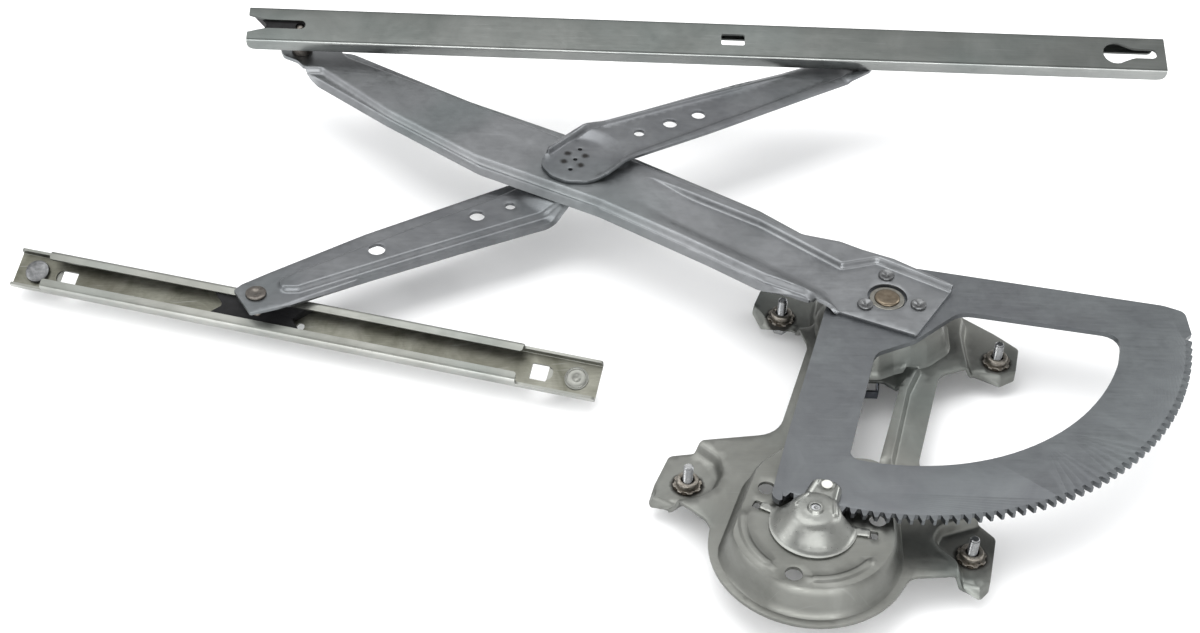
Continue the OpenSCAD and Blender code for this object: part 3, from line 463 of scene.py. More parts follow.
# plated bolts, headed rivets and studs, darkened pivot, hardened pinion, spring strip
BOLT_ZINC = mottled("bright_zinc_plate", "85878a", "a6a7a7", 3.0, 0.27)
NUT_STEEL = mottled("scorched_weld_nut_steel", "5a544c", "98948d", 1.6, 0.42, relief_mm=0.12)
BEAD_STEEL = mottled("weld_spatter", "1b1815", "4a443c", 0.9, 0.6, relief_mm=0.25)
RIVET_STEEL = mottled("headed_rivet_steel", "525354", "747576", 2.2, 0.36)
STUD_STEEL = mottled("phosphated_stud_steel", "4b4744", "6d6964", 2.0, 0.36)
PIVOT_STEEL = mottled("oiled_pivot_steel", "544b3f", "7b7163", 4.0, 0.33)
COLLAR_STEEL = mottled("turned_collar_steel", "6b6963", "8a8983", 3.0, 0.34)
DARK_STEEL = mottled("blackened_ring_steel", "2f3032", "46474a", 2.5, 0.42)
PINION_STEEL = mottled("hardened_pinion_steel", "4c4e51", "6c6e71", 3.0, 0.38)
SPRING_STEEL = mottled("blued_spring_strip", "3b3e43", "5a5d62", 6.0, 0.34)
BRONZE = mottled("sintered_bronze", "8f6c3c", "b38f58", 1.2, 0.45, relief_mm=0.08)
# nylon takes light just under its surface, so it is bright without being shiny
WHITE_NYLON = mottled("white_nylon", "c2c2bb", "d8d8d2", 5.0, 0.42, metal=0.0)
BLACK_NYLON = mottled("black_nylon", "080809", "111113", 4.0, 0.55, metal=0.0)
BLACK_NYLON.node_tree.nodes["Principled BSDF"].inputs["Specular IOR Level"].default_value = 0.2


# %% [markdown]
# A finished piece is told the body that it rides on, its own materials, and the CAD nodes that it
# stands for.

# %% Hand a piece over
def finish(obj, body, slot, materials, *nodes):
    """The faces keep their numbers, which choose among the materials."""
    if materials:
        numbers = [face.material_index for face in obj.data.polygons]
        obj.data.materials.clear()
        for material in materials:
            obj.data.materials.append(material)
        obj.data.polygons.foreach_set("material_index", numbers)
    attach(obj, body)
    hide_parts(*nodes)
    return obj


# %% [markdown]
# ## The main arm
# The long arm is 2.2 mm sheet. Its outer half carries a raised panel with a narrow flange, its
# inner half has a trough between two ridges, and its end is a flat pad that is riveted to the
# sector. The near edge is turned down as a stiffening lip. u runs from the pivot to the stud.

# %% Main arm
def line_at(u, stations):
    us, vs = zip(*sorted(stations))
    return np.interp(u, us, vs)


arm_outline = rounded([
    (-26, -19, 2), (16, -25.4, 10), (33, -25.9, 10), (58, -29.9, 12), (93, -27.5, 30),
    (164, -25.3, 60), (240, -31.6, 30), (310, -24.2, 60), (374, -14.8, 10), (388, -9.5, 8),
    (398, -10, 6), (405, -5, 6), (405, 6, 6), (394, 12, 8), (378, 14.5, 8), (368, 19, 12),
    (282, 18.8, 60), (221, 23.4, 30), (172, 27.1, 30), (91, 25.6, 30), (62, 21, 8),
    (42, 27.3, 8), (-2, 29.5, 12), (-26, 26, 2)])
arm_panel = rounded([
    (371, -8.5, 5), (379, -14, 0), (420, -20, 0), (420, 30, 0), (384, 20, 0), (366, 12.5, 10),
    (318, 14.4, 40), (218, 17.4, 30), (172, 22.8, 20), (92, 22.4, 20), (64, 18, 8),
    (44, 23.4, 8), (10, 28.6, 0), (-60, 25.6, 0), (-60, -40, 0), (20, -40, 0), (34, -23.4, 8),
    (60, -26.2, 12), (109, -23.6, 30), (165, -21.9, 30), (245, -27.8, 30), (312, -20.8, 40)])
trough = rounded([
    (158, 12.2, 6), (84.7, 13.1, 40), (30.5, 5.9, 3), (17, 21.3, 3), (-40, 22.6, 0),
    (-40, -40, 0), (10, -40, 0), (16, -25.1, 2), (28.6, -14.5, 4), (71.8, -10.1, 60),
    (158, -6.6, 8)])
near_crest = [(-30, -60), (15, -28), (35, -25.1), (65, -23.3), (109, -20.6), (142, -18.5), (165, -16)]
near_floor = [(-30, -45), (16, -25.1), (28.6, -14.5), (71.8, -10.1), (154, -6.6), (165, -6.4)]
lip_line = np.array([(378, -14.2), (374, -14.8), (310, -24.2), (240, -31.6), (164, -25.3),
                     (93, -27.5), (58, -29.9), (42, -27.6)], float)
ARM_TOP, ARM_RISE, ARM_LIP = 31.7, 3.5, 4.4


def main_height(world):
    p = to_main(world)
    u, v = p[:, 0], p[:, 1]
    panel = step_in(p, arm_panel, -0.5, 2.3)
    near = fold((v - line_at(u, near_crest)) / (line_at(u, near_floor) - line_at(u, near_crest)), 0.5)
    far = fold((depth(p, trough) + 1.9) / 1.9, 0.45)
    down = np.where(v < 2, near, far) * fold((160 - u) / 42, 0.5)
    z = ARM_TOP + ARM_RISE * panel * (1 - down)
    edge = distance(p, lip_line, closed=False)
    ends = np.clip((380 - u) / 12, 0, 1) * np.clip((u - 42) / 20, 0, 1)
    return z - ARM_LIP * fold(1 - edge / 2.1, 0.4) * ends * (v < 0)


arm_lines = [from_main(l) for l in step_lines(arm_panel, -0.5, 2.3, guards=(-0.35, 1.35))]
arm_lines += [from_main(l) for l in step_lines(trough, 0, -1.9, guards=(-0.5, 1.5))]
for share in (0.0, 0.3, 0.7, 1.0):
    us = np.linspace(20, 158, 56)
    vs = line_at(us, near_crest) * (1 - share) + line_at(us, near_floor) * share
    arm_lines.append(from_main(np.column_stack([us, vs])))
for inward in (0.7, 1.4, 2.1, 3.1):
    arm_lines.append(from_main(with_points(lip_line, 3, closed=False) + [0, inward]))
arm_holes = [ring(0, 0, 10.5), ring(*CENTRE, 12.0), ring(*PIVOT_STUDS["main"], 4.05)]
arm = pressed("main_arm_pressing", [from_main(arm_outline)], arm_holes, arm_lines, main_height, 2.2)
finish(arm, "main_lever", "arm_zinc", (ARM_ZINC, CUT_EDGE_AND_HIGHLIGHT), "main_arm")


# %% [markdown]
# ## The equalizer's two halves
# The crossing arm is two 1.8 mm pressings, one on each side of the main arm, held together by a hub
# that is spot-welded through both pads. s runs outwards from the centre joint, v across. Round each
# pad the sheet slopes like a cone to the arm's floor, and its edges are turned up there.

# %% Upper half
upper_outline = rounded([
    (-19.2, -5.5, 12), (-14, -14.5, 12), (-4, -19.8, 8), (8, -21.5, 8), (21, -19.3, 8), (29, -17, 8),
    (78, -17.4, 40), (152, -15.8, 40), (180, -15.4, 10), (198, -12.8, 8), (208, -4, 6), (208, 6, 6),
    (192, 12, 8), (143, 14.7, 40), (88, 19.1, 60), (28, 22.4, 12), (12, 21.6, 6), (2.5, 20.2, 3),
    (-9.2, 15.4, 1.5), (-10.6, 11.6, 1.5), (-15, 11.5, 6), (-19.2, 5.5, 12)])
upper_near = [(-6, -17.6), (8, -17.4), (21, -15.4), (29, -12.7), (111, -10.4), (143, -9), (175, -7.8)]
upper_far = [(-10, 10.8), (6, 16.2), (18, 18), (27.2, 17.7), (73.4, 13.6), (119.7, 8.9), (150, 7.5)]


def upper_height(world):
    p = to_upper(world)
    s, v = p[:, 0], p[:, 1]
    r = np.hypot(s, v)
    z = PAD_TOP + (FLOOR_TOP - PAD_TOP) * fold((r - 19.3) / 10, 0.3)
    # near border: a low bead along the arm, a turned-up wall beside the pad
    out = line_at(s, upper_near) - v
    wall = np.interp(s, [1, 9, 20, 30], [0, 2.4, 3.0, 0.9])
    z = z + wall * fold((out + 0.2) / 1.9, 0.4) * (v < 0)
    z = z + 0.9 * fold((s - 179) / 2.5, 0.4) * fold((-v - 4) / 3, 0.4)
    # far border: a higher ridge whose outer face falls away
    out = v - line_at(s, upper_far)
    ridge = np.interp(s, [-10, -9, 20, 30, 120, 152], [3.6, 3.8, 3.3, 1.6, 1.3, 0])
    fall = np.interp(s, [-10, 24, 34, 140], [1.2, 1.6, 2.6, 1.8])
    z = z + ridge * fold(out / 1.7, 0.4) * (v > 0)
    width = np.interp(s, [-10, 0, 28, 88, 143], [4, 4, 5, 6.5, 6])
    return z - fall * fold((out - 2.4) / (width - 2.2), 0.3) * (v > 0) * (s > -10)


def offset_lines(stations, ways, start, end, step=2.5):
    """Lines beside a border line, at the given distances across the arm."""
    us = np.linspace(start, end, int(abs(end - start) / step) + 2)
    return [np.column_stack([us, line_at(us, stations) + way]) for way in ways]


upper_lines = [from_upper(ring(0, 0, r, 40, -68, 58)) for r in (19.3, 20.8, 22.3, 24.3, 26.3, 27.8, 29.3)]
upper_lines += [from_upper(l) for l in offset_lines(upper_near, (0.2, -0.5, -1.1, -1.7), -6, 182)]
upper_lines += [from_upper(l) for l in offset_lines(upper_far, (0, 0.6, 1.1, 1.7, 2.4, 3.5), -10, 152)]
upper_holes = [from_upper(ring(*hole)) for hole in (
    (43.4, 1.9, 3.2, 24), (64.1, 1.3, 4.15, 28), (83.3, 0.7, 4.15, 28),
    (7.6, 7.6, 1.3, 16), (0.3, 0.7, 1.3, 16), (-6.9, -6, 1.3, 16))]
upper_holes.append(ring(*PIVOT_STUDS["upper"], 4.05))
upper = pressed("upper_equalizer_pressing", [from_upper(upper_outline)], upper_holes, upper_lines,
                upper_height, SHEET_T, cell=3.2)
finish(upper, "equalizer", "arm_zinc", (PAD_ZINC, CUT_EDGE_AND_HIGHLIGHT), "upper_equalizer_arm")


# %% Lower half
lower_outline = rounded([
    (-19, -6, 12), (-14, -14, 12), (-2, -19.6, 10), (11, -19.5, 6), (31.5, -24.6, 8), (84, -20.5, 60),
    (141, -17.1, 40), (184, -16.2, 10), (205, -12.6, 1.5), (205, 8.4, 1.5), (199.7, 10.8, 3),
    (184, 12.5, 8), (124, 17.2, 60), (32, 18, 8), (12, 18.5, 8), (-2, 19.5, 12), (-14, 14, 12),
    (-19, 6, 12)])
lower_panel = rounded([
    (24, -17.5, 0), (31, -17.4, 6), (110, -12.9, 60), (176, -9.8, 6), (184.8, -5, 5), (182.5, 3, 5),
    (172, 5, 8), (100, 8.6, 60), (50, 10.2, 40), (30, 12, 0), (10, 13, 0), (10, -17, 0)])
lower_lip = np.array([(-2, -19.6), (11, -19.5), (31.5, -24.6), (84, -20.5), (141, -17.1), (184, -16.2)])
LOWER_FLOOR, PANEL_RISE, LOWER_PAD = 19.5, 3.0, 29.2


def lower_height(world):
    p = to_lower(world)
    r = np.hypot(p[:, 0], p[:, 1])
    arm = LOWER_FLOOR + PANEL_RISE * step_in(p, lower_panel, -0.6, 2.4, 0.42)
    edge, drop = along(p, lower_lip, [0, 1.0, 2.2, 2.2, 2.2, 0.6])
    arm = arm - drop * fold(1 - edge / 1.9, 0.4) * (p[:, 1] < 0)
    rise = fold((36 - r) / 16.5, 0.22)
    return arm + (LOWER_PAD - arm) * rise


lower_lines = [from_lower(l) for l in step_lines(lower_panel, -0.6, 2.4, guards=(-0.3, 1.3))]
lower_lines += [from_lower(ring(0, 0, r, 40, -70, 62)) for r in (19.5, 21.3, 23.1, 27.5, 32.5, 34.3, 36)]
for inward in (0.7, 1.3, 1.9, 2.7):
    lower_lines.append(from_lower(with_points(lower_lip, 2.5, closed=False) + [0, inward]))
lower_holes = [from_lower(ring(*hole)) for hole in (
    (43.3, -2.3, 3, 24), (63.7, -1.1, 4.3, 28), (125.3, -0.6, 4.7, 28))]
lower_holes.append(ring(*PIVOT_STUDS["lower"], 4.05))
lower = pressed("lower_equalizer_pressing", [from_lower(lower_outline)], lower_holes, lower_lines,
                lower_height, SHEET_T, cell=3.2)
finish(lower, "equalizer", "arm_zinc", (EQUAL_ZINC, CUT_EDGE_AND_HIGHLIGHT), "lower_equalizer_arm")


# %% [markdown]
# ## The bracket
# One 1.8 mm pressing carries everything: a dome for the motor's gear case, a boss for the main
# pivot, an open window between them and four feet, each stepped down to the door. It is the deepest
# draw of all the pieces, so its walls lean and its bends are generous.

# %% Bracket outline
flange_arc = [(x, y, 0) for x, y in ring(*PINION, 48.2, 34, 166, 332)]
bracket_outline = rounded(flange_arc + [
    (-3, -174, 7), (19, -171.8, 4), (30.5, -177.2, 3), (34.8, -173.4, 2), (42, -143, 4),
    (32.5, -131.5, 4), (14, -118, 12), (8.5, -100, 14), (27, -33, 10), (47, -25.2, 4), (61, -28.4, 3),
    (69, -25, 2),
    (73.7, -5, 3), (62, 7, 4), (50, 17, 6), (30, 34, 14), (-20, 37, 12), (-37, 29, 8), (-46, 41, 6),
    (-62, 38, 4), (-67.5, 22, 3), (-63, 12.1, 3), (-46, 6.5, 4), (-43.6, -2, 4), (-40.4, -14, 14),
    (-60, -81, 16), (-98, -87.2, 4), (-103, -91.4, 3), (-115, -93.6, 4), (-126, -123, 3),
    (-113.5, -127.8, 3), (-106, -134, 12), (-98.5, -141, 6)])
dome = rounded([(x, y, 0) for x, y in ring(*PINION, 41.5, 40, 190, 362)] + [
    (-8, -150, 10), (-6.5, -109.5, 14), (-39, -107.5, 12), (-56, -98.5, 12), (-76, -116, 26),
    (-90.3, -160, 10)])
boss = rounded([(x, y, 0) for x, y in ring(0, 0, 32.5, 30, 5, 205)] + [
    (-27, -25, 8), (-16, -35.6, 5), (-6, -35.4, 5), (2, -31, 6), (11.5, -28, 8), (20.5, -24, 8),
    (31.5, -14, 8)])
window = rounded([(-26, -40, 5), (-41, -94, 6), (-34, -103.4, 4), (-12.5, -105.4, 5), (4.5, -47, 5),
                  (-3, -39.6, 4)])
feet = [rounded(corners) for corners in (
    [(-45.5, 1, 0), (-36.5, 4, 4), (-36, 14, 6), (-33, 26, 6), (-32, 31, 0), (-30, 60, 0), (-100, 60, 0),
     (-100, -6, 0)],
    [(43, 23, 0), (46, 12, 6), (43.5, 0, 8), (43.5, -12, 8), (44, -27, 0), (44, -60, 0), (110, -60, 0),
     (110, 60, 0), (40, 60, 0)],
    [(-116, -129, 0), (-102, -124.8, 8), (-93.5, -118.5, 8), (-89.7, -109, 8), (-91.5, -99, 8),
     (-101, -90, 6), (-103, -80, 0), (-150, -80, 0), (-150, -140, 0), (-117, -140, 0)],
    [(36, -125, 0), (33.5, -134.2, 2), (15, -141.2, 6), (11.5, -148, 5), (12.7, -153.5, 5),
     (21, -162.5, 6), (21, -173, 0), (21, -190, 0), (70, -190, 0), (70, -125, 0)])]
# small tabs on the feet, bent down: the bent edge and how far its points go down
tabs = [([(-67.6, 22), (-63, 12.1), (-46, 6.5)], [3.5, 6.3, 1.2]),
        ([(47, -25.2), (61, -28.4), (69, -25)], [1.2, 6.3, 4.5]),
        ([(-124.4, -117), (-126, -123), (-113.5, -127.8)], [3.0, 6.3, 2.5]),
        ([(19, -171.8), (30.5, -177.2), (34.8, -173.4)], [1.2, 6.3, 4.0])]
# the cover's two ears go through slots at these angles
EAR_ANGLES = (153, 351)
# two raised arcs stiffen the dome's face: their radius and their angles about the pinion
ARC_R, ARCS = 32.8, [(167, 229), (265, 321)]
rail = [(-4.9, -103.3), (9, -49.5), (16.8, -32)]
WEB_TOP, FOOT_TOP, DOME_TOP = 7.8, 1.8, 22.6
print("bracket outline:", len(bracket_outline), "corners and arc points")


# %% Press the bracket
def beside_pinion(angle, near, far, half_width, radius, steps):
    """Rounded box that points away from the pinion."""
    place, _ = own_axes(PINION, *heading(angle))
    corners = [(near, -half_width), (far, -half_width), (far, half_width), (near, half_width)]
    return rounded([(*place(corner), radius) for corner in corners], steps)


def bracket_height(p):
    x, y = p[:, 0], p[:, 1]
    z = np.full(len(p), WEB_TOP)
    # raised edge of the window's right side, fading at both ends
    beside = x - np.interp(y, *np.array(rail)[:, ::-1].T)
    lift = fold((1.6 - beside) / 3.4, 0.4) * fold((beside + 9) / 3, 0.4)
    z += 4.2 * lift * fold((y + 107) / 8, 0.4) * fold((-28 - y) / 6, 0.4)
    for foot in feet:
        z = z + (FOOT_TOP - z) * step_in(p, foot, -2.0, 2.2)
    up = np.maximum(step_in(p, dome, -3.0, 3.2, 0.3), step_in(p, boss, -3.6, 3.6, 0.32))
    z = z + (DOME_TOP - z) * up
    r = np.hypot(x, y)
    z += 2.4 * fold((15.5 - r) / 3, 0.4)
    q = p - PINION
    r, turn = np.hypot(q[:, 0], q[:, 1]), np.degrees(np.arctan2(q[:, 1], q[:, 0])) % 360
    for first, last in ARCS:
        middle = np.clip(turn, first + 3, last - 3)
        gap = np.hypot(r - ARC_R, np.radians(turn - middle) * ARC_R)
        z += 1.0 * fold((2.7 - gap) / 1.7, 0.5)
    for line, drops in tabs:
        edge, drop = along(p, np.array(line, float), drops)
        z -= drop * fold(1 - edge / 3.0, 0.35)
    return z


bracket_lines = []
for outline, foot, crest in [(dome, -3.0, 3.2), (boss, -3.6, 3.6)] + [(f, -2.0, 2.2) for f in feet]:
    bracket_lines += step_lines(outline, foot, crest, 2.4)
bracket_lines += [ring(0, 0, r, 40) for r in (12.5, 13.6, 14.5, 15.5)]
for first, last in ARCS:
    for away in (-2.7, -2.1, -1.4, -0.8, 0.8, 1.4, 2.1, 2.7):
        bracket_lines.append(ring(*PINION, ARC_R + away, 26, first, last))
for line, _ in tabs:
    for inward in (0.8, 1.5, 2.2, 3.0):
        near = with_points(np.array(line, float), 2, closed=False)
        side = np.gradient(near, axis=0)
        side = np.column_stack([-side[:, 1], side[:, 0]]) / np.linalg.norm(side, axis=1, keepdims=True)
        bracket_lines.append(near + side * inward)
for beside in (-2.0, -1.2, -0.1, 0.9, 1.7):
    bracket_lines.append(with_points(np.array(rail[::-1]) + [beside, 0], 2.5, closed=False))
bracket_holes = [window, ring(*PINION, 8.0, 40), ring(0, 0, 7.55, 40)]
bracket_holes += [ring(*spot, 2.75, 24) for spot in MOUNTS]
bracket_holes += [ring(*(PINION + 31.65 * heading(angle)[0]), 4.2, 32) for angle in (10, 130, 250)]
bracket_holes += [beside_pinion(angle, 25.7, 30.6, 2.5, 1.2, 4) for angle in EAR_ANGLES]
bracket = pressed("mounting_bracket", [bracket_outline], bracket_holes, bracket_lines, bracket_height,
                  SHEET_T, cell=3.6)
finish(bracket, "bracket", "bracket_zinc", (BRACKET_ZINC, CUT_EDGE_AND_HIGHLIGHT), "backplate")


# %% [markdown]
# ## Modelling by hand
# The other pieces are made as one works by hand: a primitive is added at its size and place, edges
# are extruded, spun or bevelled in edit mode, holes are cut by a Boolean and every edge is broken.

# %% Tools for edit mode
def edit(obj, kind="VERT"):
    """Opens edit mode with nothing selected and returns the mesh as it is there."""
    only(obj)
    bpy.ops.object.mode_set(mode="EDIT")
    bpy.ops.mesh.select_mode(type=kind)
    bpy.ops.mesh.select_all(action="DESELECT")
    return bmesh.from_edit_mesh(obj.data)


def pick(parts, test):
    """Selects those of the vertices or edges that pass the test."""
    for part in parts:
        if test(part):
            part.select_set(True)


def leave(obj):
    bpy.ops.object.mode_set(mode="OBJECT")
    return obj


def drag(x=0.0, y=0.0, z=0.0):
    """Extrudes what is selected by this many millimetres."""
    bpy.ops.mesh.extrude_region_move(TRANSFORM_OT_translate={"value": (x * MM, y * MM, z * MM)})


def everything():
    bpy.ops.mesh.select_all(action="SELECT")


def merged():
    everything()
    bpy.ops.mesh.remove_doubles(threshold=1e-6)


def normals_out():
    everything()
    bpy.ops.mesh.normals_make_consistent(inside=False)


def settled():
    """Gives the active object's place, turn and size to its mesh."""
    bpy.ops.object.transform_apply(location=True, rotation=True, scale=True)


def first_vertex(name, x, y, z):
    """A new piece, still one vertex that waits to be extruded."""
    bpy.ops.mesh.primitive_plane_add(size=MM, location=(0, 0, 0))
    obj = bpy.context.object
    obj.name = name
    edit(obj)
    everything()
    bpy.ops.mesh.merge(type="CENTER")
    bpy.ops.transform.translate(value=(x * MM, y * MM, z * MM))
    return obj


def spun(name, profile, steps=64, centre=(0.0, 0.0)):
    """Solid of revolution: one vertex is extruded along (radius, height) points and spun."""
    r0, z0 = profile[0]
    obj = first_vertex(name, centre[0] + r0, centre[1], z0)
    for r, z in profile[1:]:
        drag(r - r0, 0, z - z0)
        r0, z0 = r, z
    everything()
    bpy.ops.mesh.spin(steps=steps, angle=2 * math.pi, center=(centre[0] * MM, centre[1] * MM, 0),
                      axis=(0, 0, 1))
    merged()
    normals_out()
    return leave(obj)


def prism(outline, low, high):
    """A cutter: the outline filled at the height low and extruded to the height high."""
    obj = new_object("cutter", [(x * MM, y * MM, low * MM) for x, y in outline], [range(len(outline))])
    edit(obj)
    everything()
    drag(z=high - low)
    normals_out()
    return leave(obj)


def boolean(obj, tools, operation="DIFFERENCE"):
    for tool in tools:
        modifier = obj.modifiers.new("shape", "BOOLEAN")
        modifier.operation, modifier.object, modifier.solver = operation, tool, "EXACT"
        apply_all(obj)
        bpy.data.objects.remove(tool)
    return obj


def joined(name, parts):
    only(parts[0])
    for part in parts[1:]:
        part.select_set(True)
    bpy.ops.object.join()
    parts[0].name = name
    return parts[0]


def copies(obj, places):
    """The piece and its copies, each with its own mesh, moved to these places and joined."""
    made = []
    for place in places:
        twin = linked(obj.name, obj.data.copy())
        only(twin)
        twin.location = [c * MM for c in (*place, 0)[:3]]
        settled()
        made.append(twin)
    name = obj.name
    bpy.data.objects.remove(obj)
    return joined(name, made)


def placed(obj, matrix):
    """The finished mesh moved into place, so that its object stays at the origin, unturned."""
    only(obj)
    obj.matrix_world = matrix
    settled()
    return obj


def about_x(degrees):
    return Matrix.Rotation(math.radians(degrees), 4, "X")


def moved_to(x, y, z):
    return Matrix.Translation(Vector((x, y, z)) * MM)


# %% [markdown]
# ## The two rails
# Both rails are roll-formed: a flat strip is bent up at its sides and its edges are turned inwards,
# so that a slider can't leave. By hand that is a strip whose long edges are extruded twice and
# bevelled along the bends. Then the strip gets its 1.5 mm gauge and the punched holes.

# %% Roll-form a channel
# the section, in heights from the middle of the slider's ball, and its gauge; then the balls' heights
WEB, FLOOR_IN, LIP_TOP, RAIL_T = -5.5, -4.0, 4.2, 1.5
UPPER_BALL, LOWER_BALL = 49.8, 6.2


def channel(name, width, length, lips, low_leg, corner, lip):
    """Channel along X with its web down; between the lip ends its legs are full and turned in by lip."""
    bpy.ops.mesh.primitive_plane_add(size=1, location=(0, 0, 0))
    obj = bpy.context.object
    obj.name = name
    obj.scale = (length * MM, width * MM, 1)
    obj.location = (length / 2 * MM, 0, WEB * MM)
    settled()
    for x in lips:
        edit(obj)
        everything()
        bpy.ops.mesh.bisect(plane_co=(x * MM, 0, 0), plane_no=(1, 0, 0))
        leave(obj)
    for side in (-1, 1):
        pick(edit(obj, "EDGE").edges, lambda edge: all(
            abs(v.co.y - side * width / 2 * MM) < 1e-6 and v.co.z < (WEB + 0.1) * MM for v in edge.verts))
        drag(z=low_leg - WEB)
        mesh = bmesh.from_edit_mesh(obj.data)
        for edge in mesh.edges:
            middle = (edge.verts[0].co.x + edge.verts[1].co.x) / 2 / MM
            if not lips[0] < middle < lips[1]:
                edge.select_set(False)
        drag(z=LIP_TOP - low_leg)
        drag(y=-side * lip)
        leave(obj)
    # the bends, with the radius that the rollers leave outside
    pick(edit(obj, "EDGE").edges, lambda edge: len(edge.link_faces) == 2 and edge.calc_face_angle() > 1)
    bpy.ops.mesh.bevel(offset=2.0 * MM, segments=5, affect="EDGES")
    leave(obj)
    # free corners of the legs and lips
    pick(edit(obj).verts, lambda vert: len(vert.link_edges) == 2 and vert.co.z > (low_leg - 0.1) * MM)
    bpy.ops.mesh.bevel(offset=corner * MM, segments=4, affect="VERTICES")
    normals_out()
    leave(obj)
    web = [face for face in obj.data.polygons if face.center.z < (WEB + 0.1) * MM]
    if sum(face.normal.z * face.area for face in web) > 0:
        edit(obj)
        everything()
        bpy.ops.mesh.flip_normals()
        leave(obj)
    gauge = obj.modifiers.new("gauge", "SOLIDIFY")
    gauge.thickness, gauge.offset, gauge.use_even_offset = RAIL_T * MM, -1, True
    # the rims take the second material: bare cut edge with a painted highlight
    gauge.material_offset_rim = 1
    apply_all(obj)
    print(name, "is", length, "mm long and", width, "mm wide")
    return obj


def mark_faces(obj, axis, normal, low, high, number):
    """Gives a material number to the faces that look along an axis and lie between two places on it."""
    for face in obj.data.polygons:
        if face.normal[axis] * normal > 0.7 and low * MM < face.center[axis] < high * MM:
            face.material_index = number


# %% [markdown]
# The glass rail lies open side down, so its web is seen. A fork in its left end and a keyhole in
# its right one let the glass be hooked in and slid home; the square-cornered hole takes a clip.

# %% Glass rail
SASH_LEN, SASH_OVER = 548.0, 30.6
fork_round = ring(31, 0, 3.1, 13, 90, -90)
fork = [(-2, 6.9), (2.5, 5.6), (6, 4.4), (9, 3.6), (12, 3.1), *fork_round, (12, -3.1), (9, -3.6),
        (6, -4.4), (2.5, -5.6), (-2, -6.9)]
KEY_X = 487.5 + SASH_OVER
key = [*ring(KEY_X, 0, 7.6, 29, 55, 305), (KEY_X + 9.5, -4.0), (KEY_X + 12, -3.3),
       *ring(KEY_X + 21.5, 0, 3.3, 13, -90, 90), (KEY_X + 12, 3.3), (KEY_X + 9.5, 4.0)]
clip = rounded([(281.6, -4, 1), (295.6, -4, 1), (295.6, 4, 1), (281.6, 4, 1)], 4)
sash = channel("glass_rail_channel", width=25.0, length=SASH_LEN, lips=(4.5, SASH_LEN - 4.5),
               low_leg=LIP_TOP - 1.0, corner=4.0, lip=6.0)
boolean(sash, [prism(shape, WEB - 1, FLOOR_IN + 1) for shape in (fork, key, clip)])
# the near leg takes the third material, a lighter zinc painted as the floor's reflection
mark_faces(sash, axis=1, normal=1, low=10.5, high=14, number=2)
broken_edges(sash, 0.2, 60)
placed(sash, moved_to(*PIVOT_STUDS["main"], UPPER_BALL) @ about_x(200) @ moved_to(-SASH_OVER, 0, 0))
finish(sash, "glass_rail", "sash_zinc", (SASH_ZINC, CUT_EDGE_AND_HIGHLIGHT, GLASS_RAIL_LEG_PAINTED_REFLECTION), "sash_channel")

# %% [markdown]
# The guide rail is fixed to the door. Its end legs are cut low so that a socket can reach the two
# studs, a square hole near each end locates it, and beside each square the punch has left a
# shallow pocket. The web's inner face is rubbed to streaks by the slider, and is darker as painted
# shade under the lips.

# %% Guide rail
GUIDE_LEN = 327.0
guide = channel("guide_rail_channel", width=22.0, length=GUIDE_LEN, lips=(19, 285), low_leg=0.0,
                corner=1.6, lip=5.1)
punches = [rounded([(x - 4.5, -5, 0.6), (x + 4.5, -5, 0.6), (x + 4.5, 4, 0.6), (x - 4.5, 4, 0.6)], 3)
           for x in (30, 295)]
punches += [ring(x, y, r, 32) for x, y, r in ((12, 0, 4.05), (315, 0, 4.05), (163.5, -1.5, 2.2))]
holes = [prism(punch, WEB - 1, FLOOR_IN + 1) for punch in punches]
for x, s in ((26, -1), (299, 1)):
    pocket = [(x, -4.2), (x + 2.2 * s, -3.2), (x + 3.2 * s, -1.2), (x + 3.2 * s, 1.2), (x + 2.2 * s, 3.0),
              (x, 3.6)]
    holes.append(prism(pocket[::s], FLOOR_IN - 0.9, FLOOR_IN + 1))
boolean(guide, holes)
# the web's inner face is worn to streaks and darker as painted shade under the lips; the near leg is
# lighter as a painted reflection of the floor
mark_faces(guide, axis=2, normal=1, low=FLOOR_IN - 0.1, high=FLOOR_IN + 0.1, number=2)
mark_faces(guide, axis=1, normal=-1, low=-12, high=-9, number=3)
broken_edges(guide, 0.2, 60)
GUIDE_AXES = (moved_to(*PIVOT_STUDS["lower"], LOWER_BALL)
              @ Matrix.Rotation(math.radians(GUIDE_TURN), 4, "Z") @ about_x(26) @ moved_to(-140, 0, 0))
placed(guide, GUIDE_AXES)
finish(guide, "guide_rail", "guide_zinc", (GUIDE_ZINC, CUT_EDGE_AND_HIGHLIGHT, WORN_AND_SHADED_ZINC, NEAR_LEG_PAINTED_REFLECTION), "guide_channel")


# %% [markdown]
# ## Studs of the guide rail
# Both studs are headed inside the rail and go out through the door's inner panel. The left head is
# a plain disc; the right one is pressed nearly flush, with a ring round it and a dimple in it.

# %% Guide studs
shank = [(3.0, -5.4), (3.0, -16.9), (2.5, -17.5), (0, -17.5)]
collar = [(4.0, -3.9), (4.0, -5.5), (6.7, -5.5), (7.0, -5.8), (7.0, -6.7), (6.7, -7.0), (3.0, -7.0)]
left_head = [(0, -1.6), (3.5, -1.6), (5.6, -1.65), (6.3, -1.95), (6.5, -2.4), (6.5, -3.7), (6.3, -4.0)]
left_stud = spun("guide_stud_plain_head", left_head + collar + shank[1:])
right_head = [(0, -4.0), (1.3, -3.95), (2.0, -3.5), (2.5, -3.3), (4.6, -3.3), (5.0, -3.45), (5.3, -3.75),
              (5.6, -3.8), (5.9, -3.5), (6.2, -3.45), (6.4, -3.65), (6.4, -4.0)]
right_stud = spun("guide_stud_pressed_head", right_head + collar + shank[1:])
for obj, x, node, material in ((left_stud, 12, "guide_stud_left", RIVET_STEEL),
                               (right_stud, 315, "guide_stud_right", GUIDE_ZINC)):
    placed(smooth(obj), GUIDE_AXES @ moved_to(x, 0, 0))
    finish(obj, "guide_rail", "guide_zinc", (material,), node)


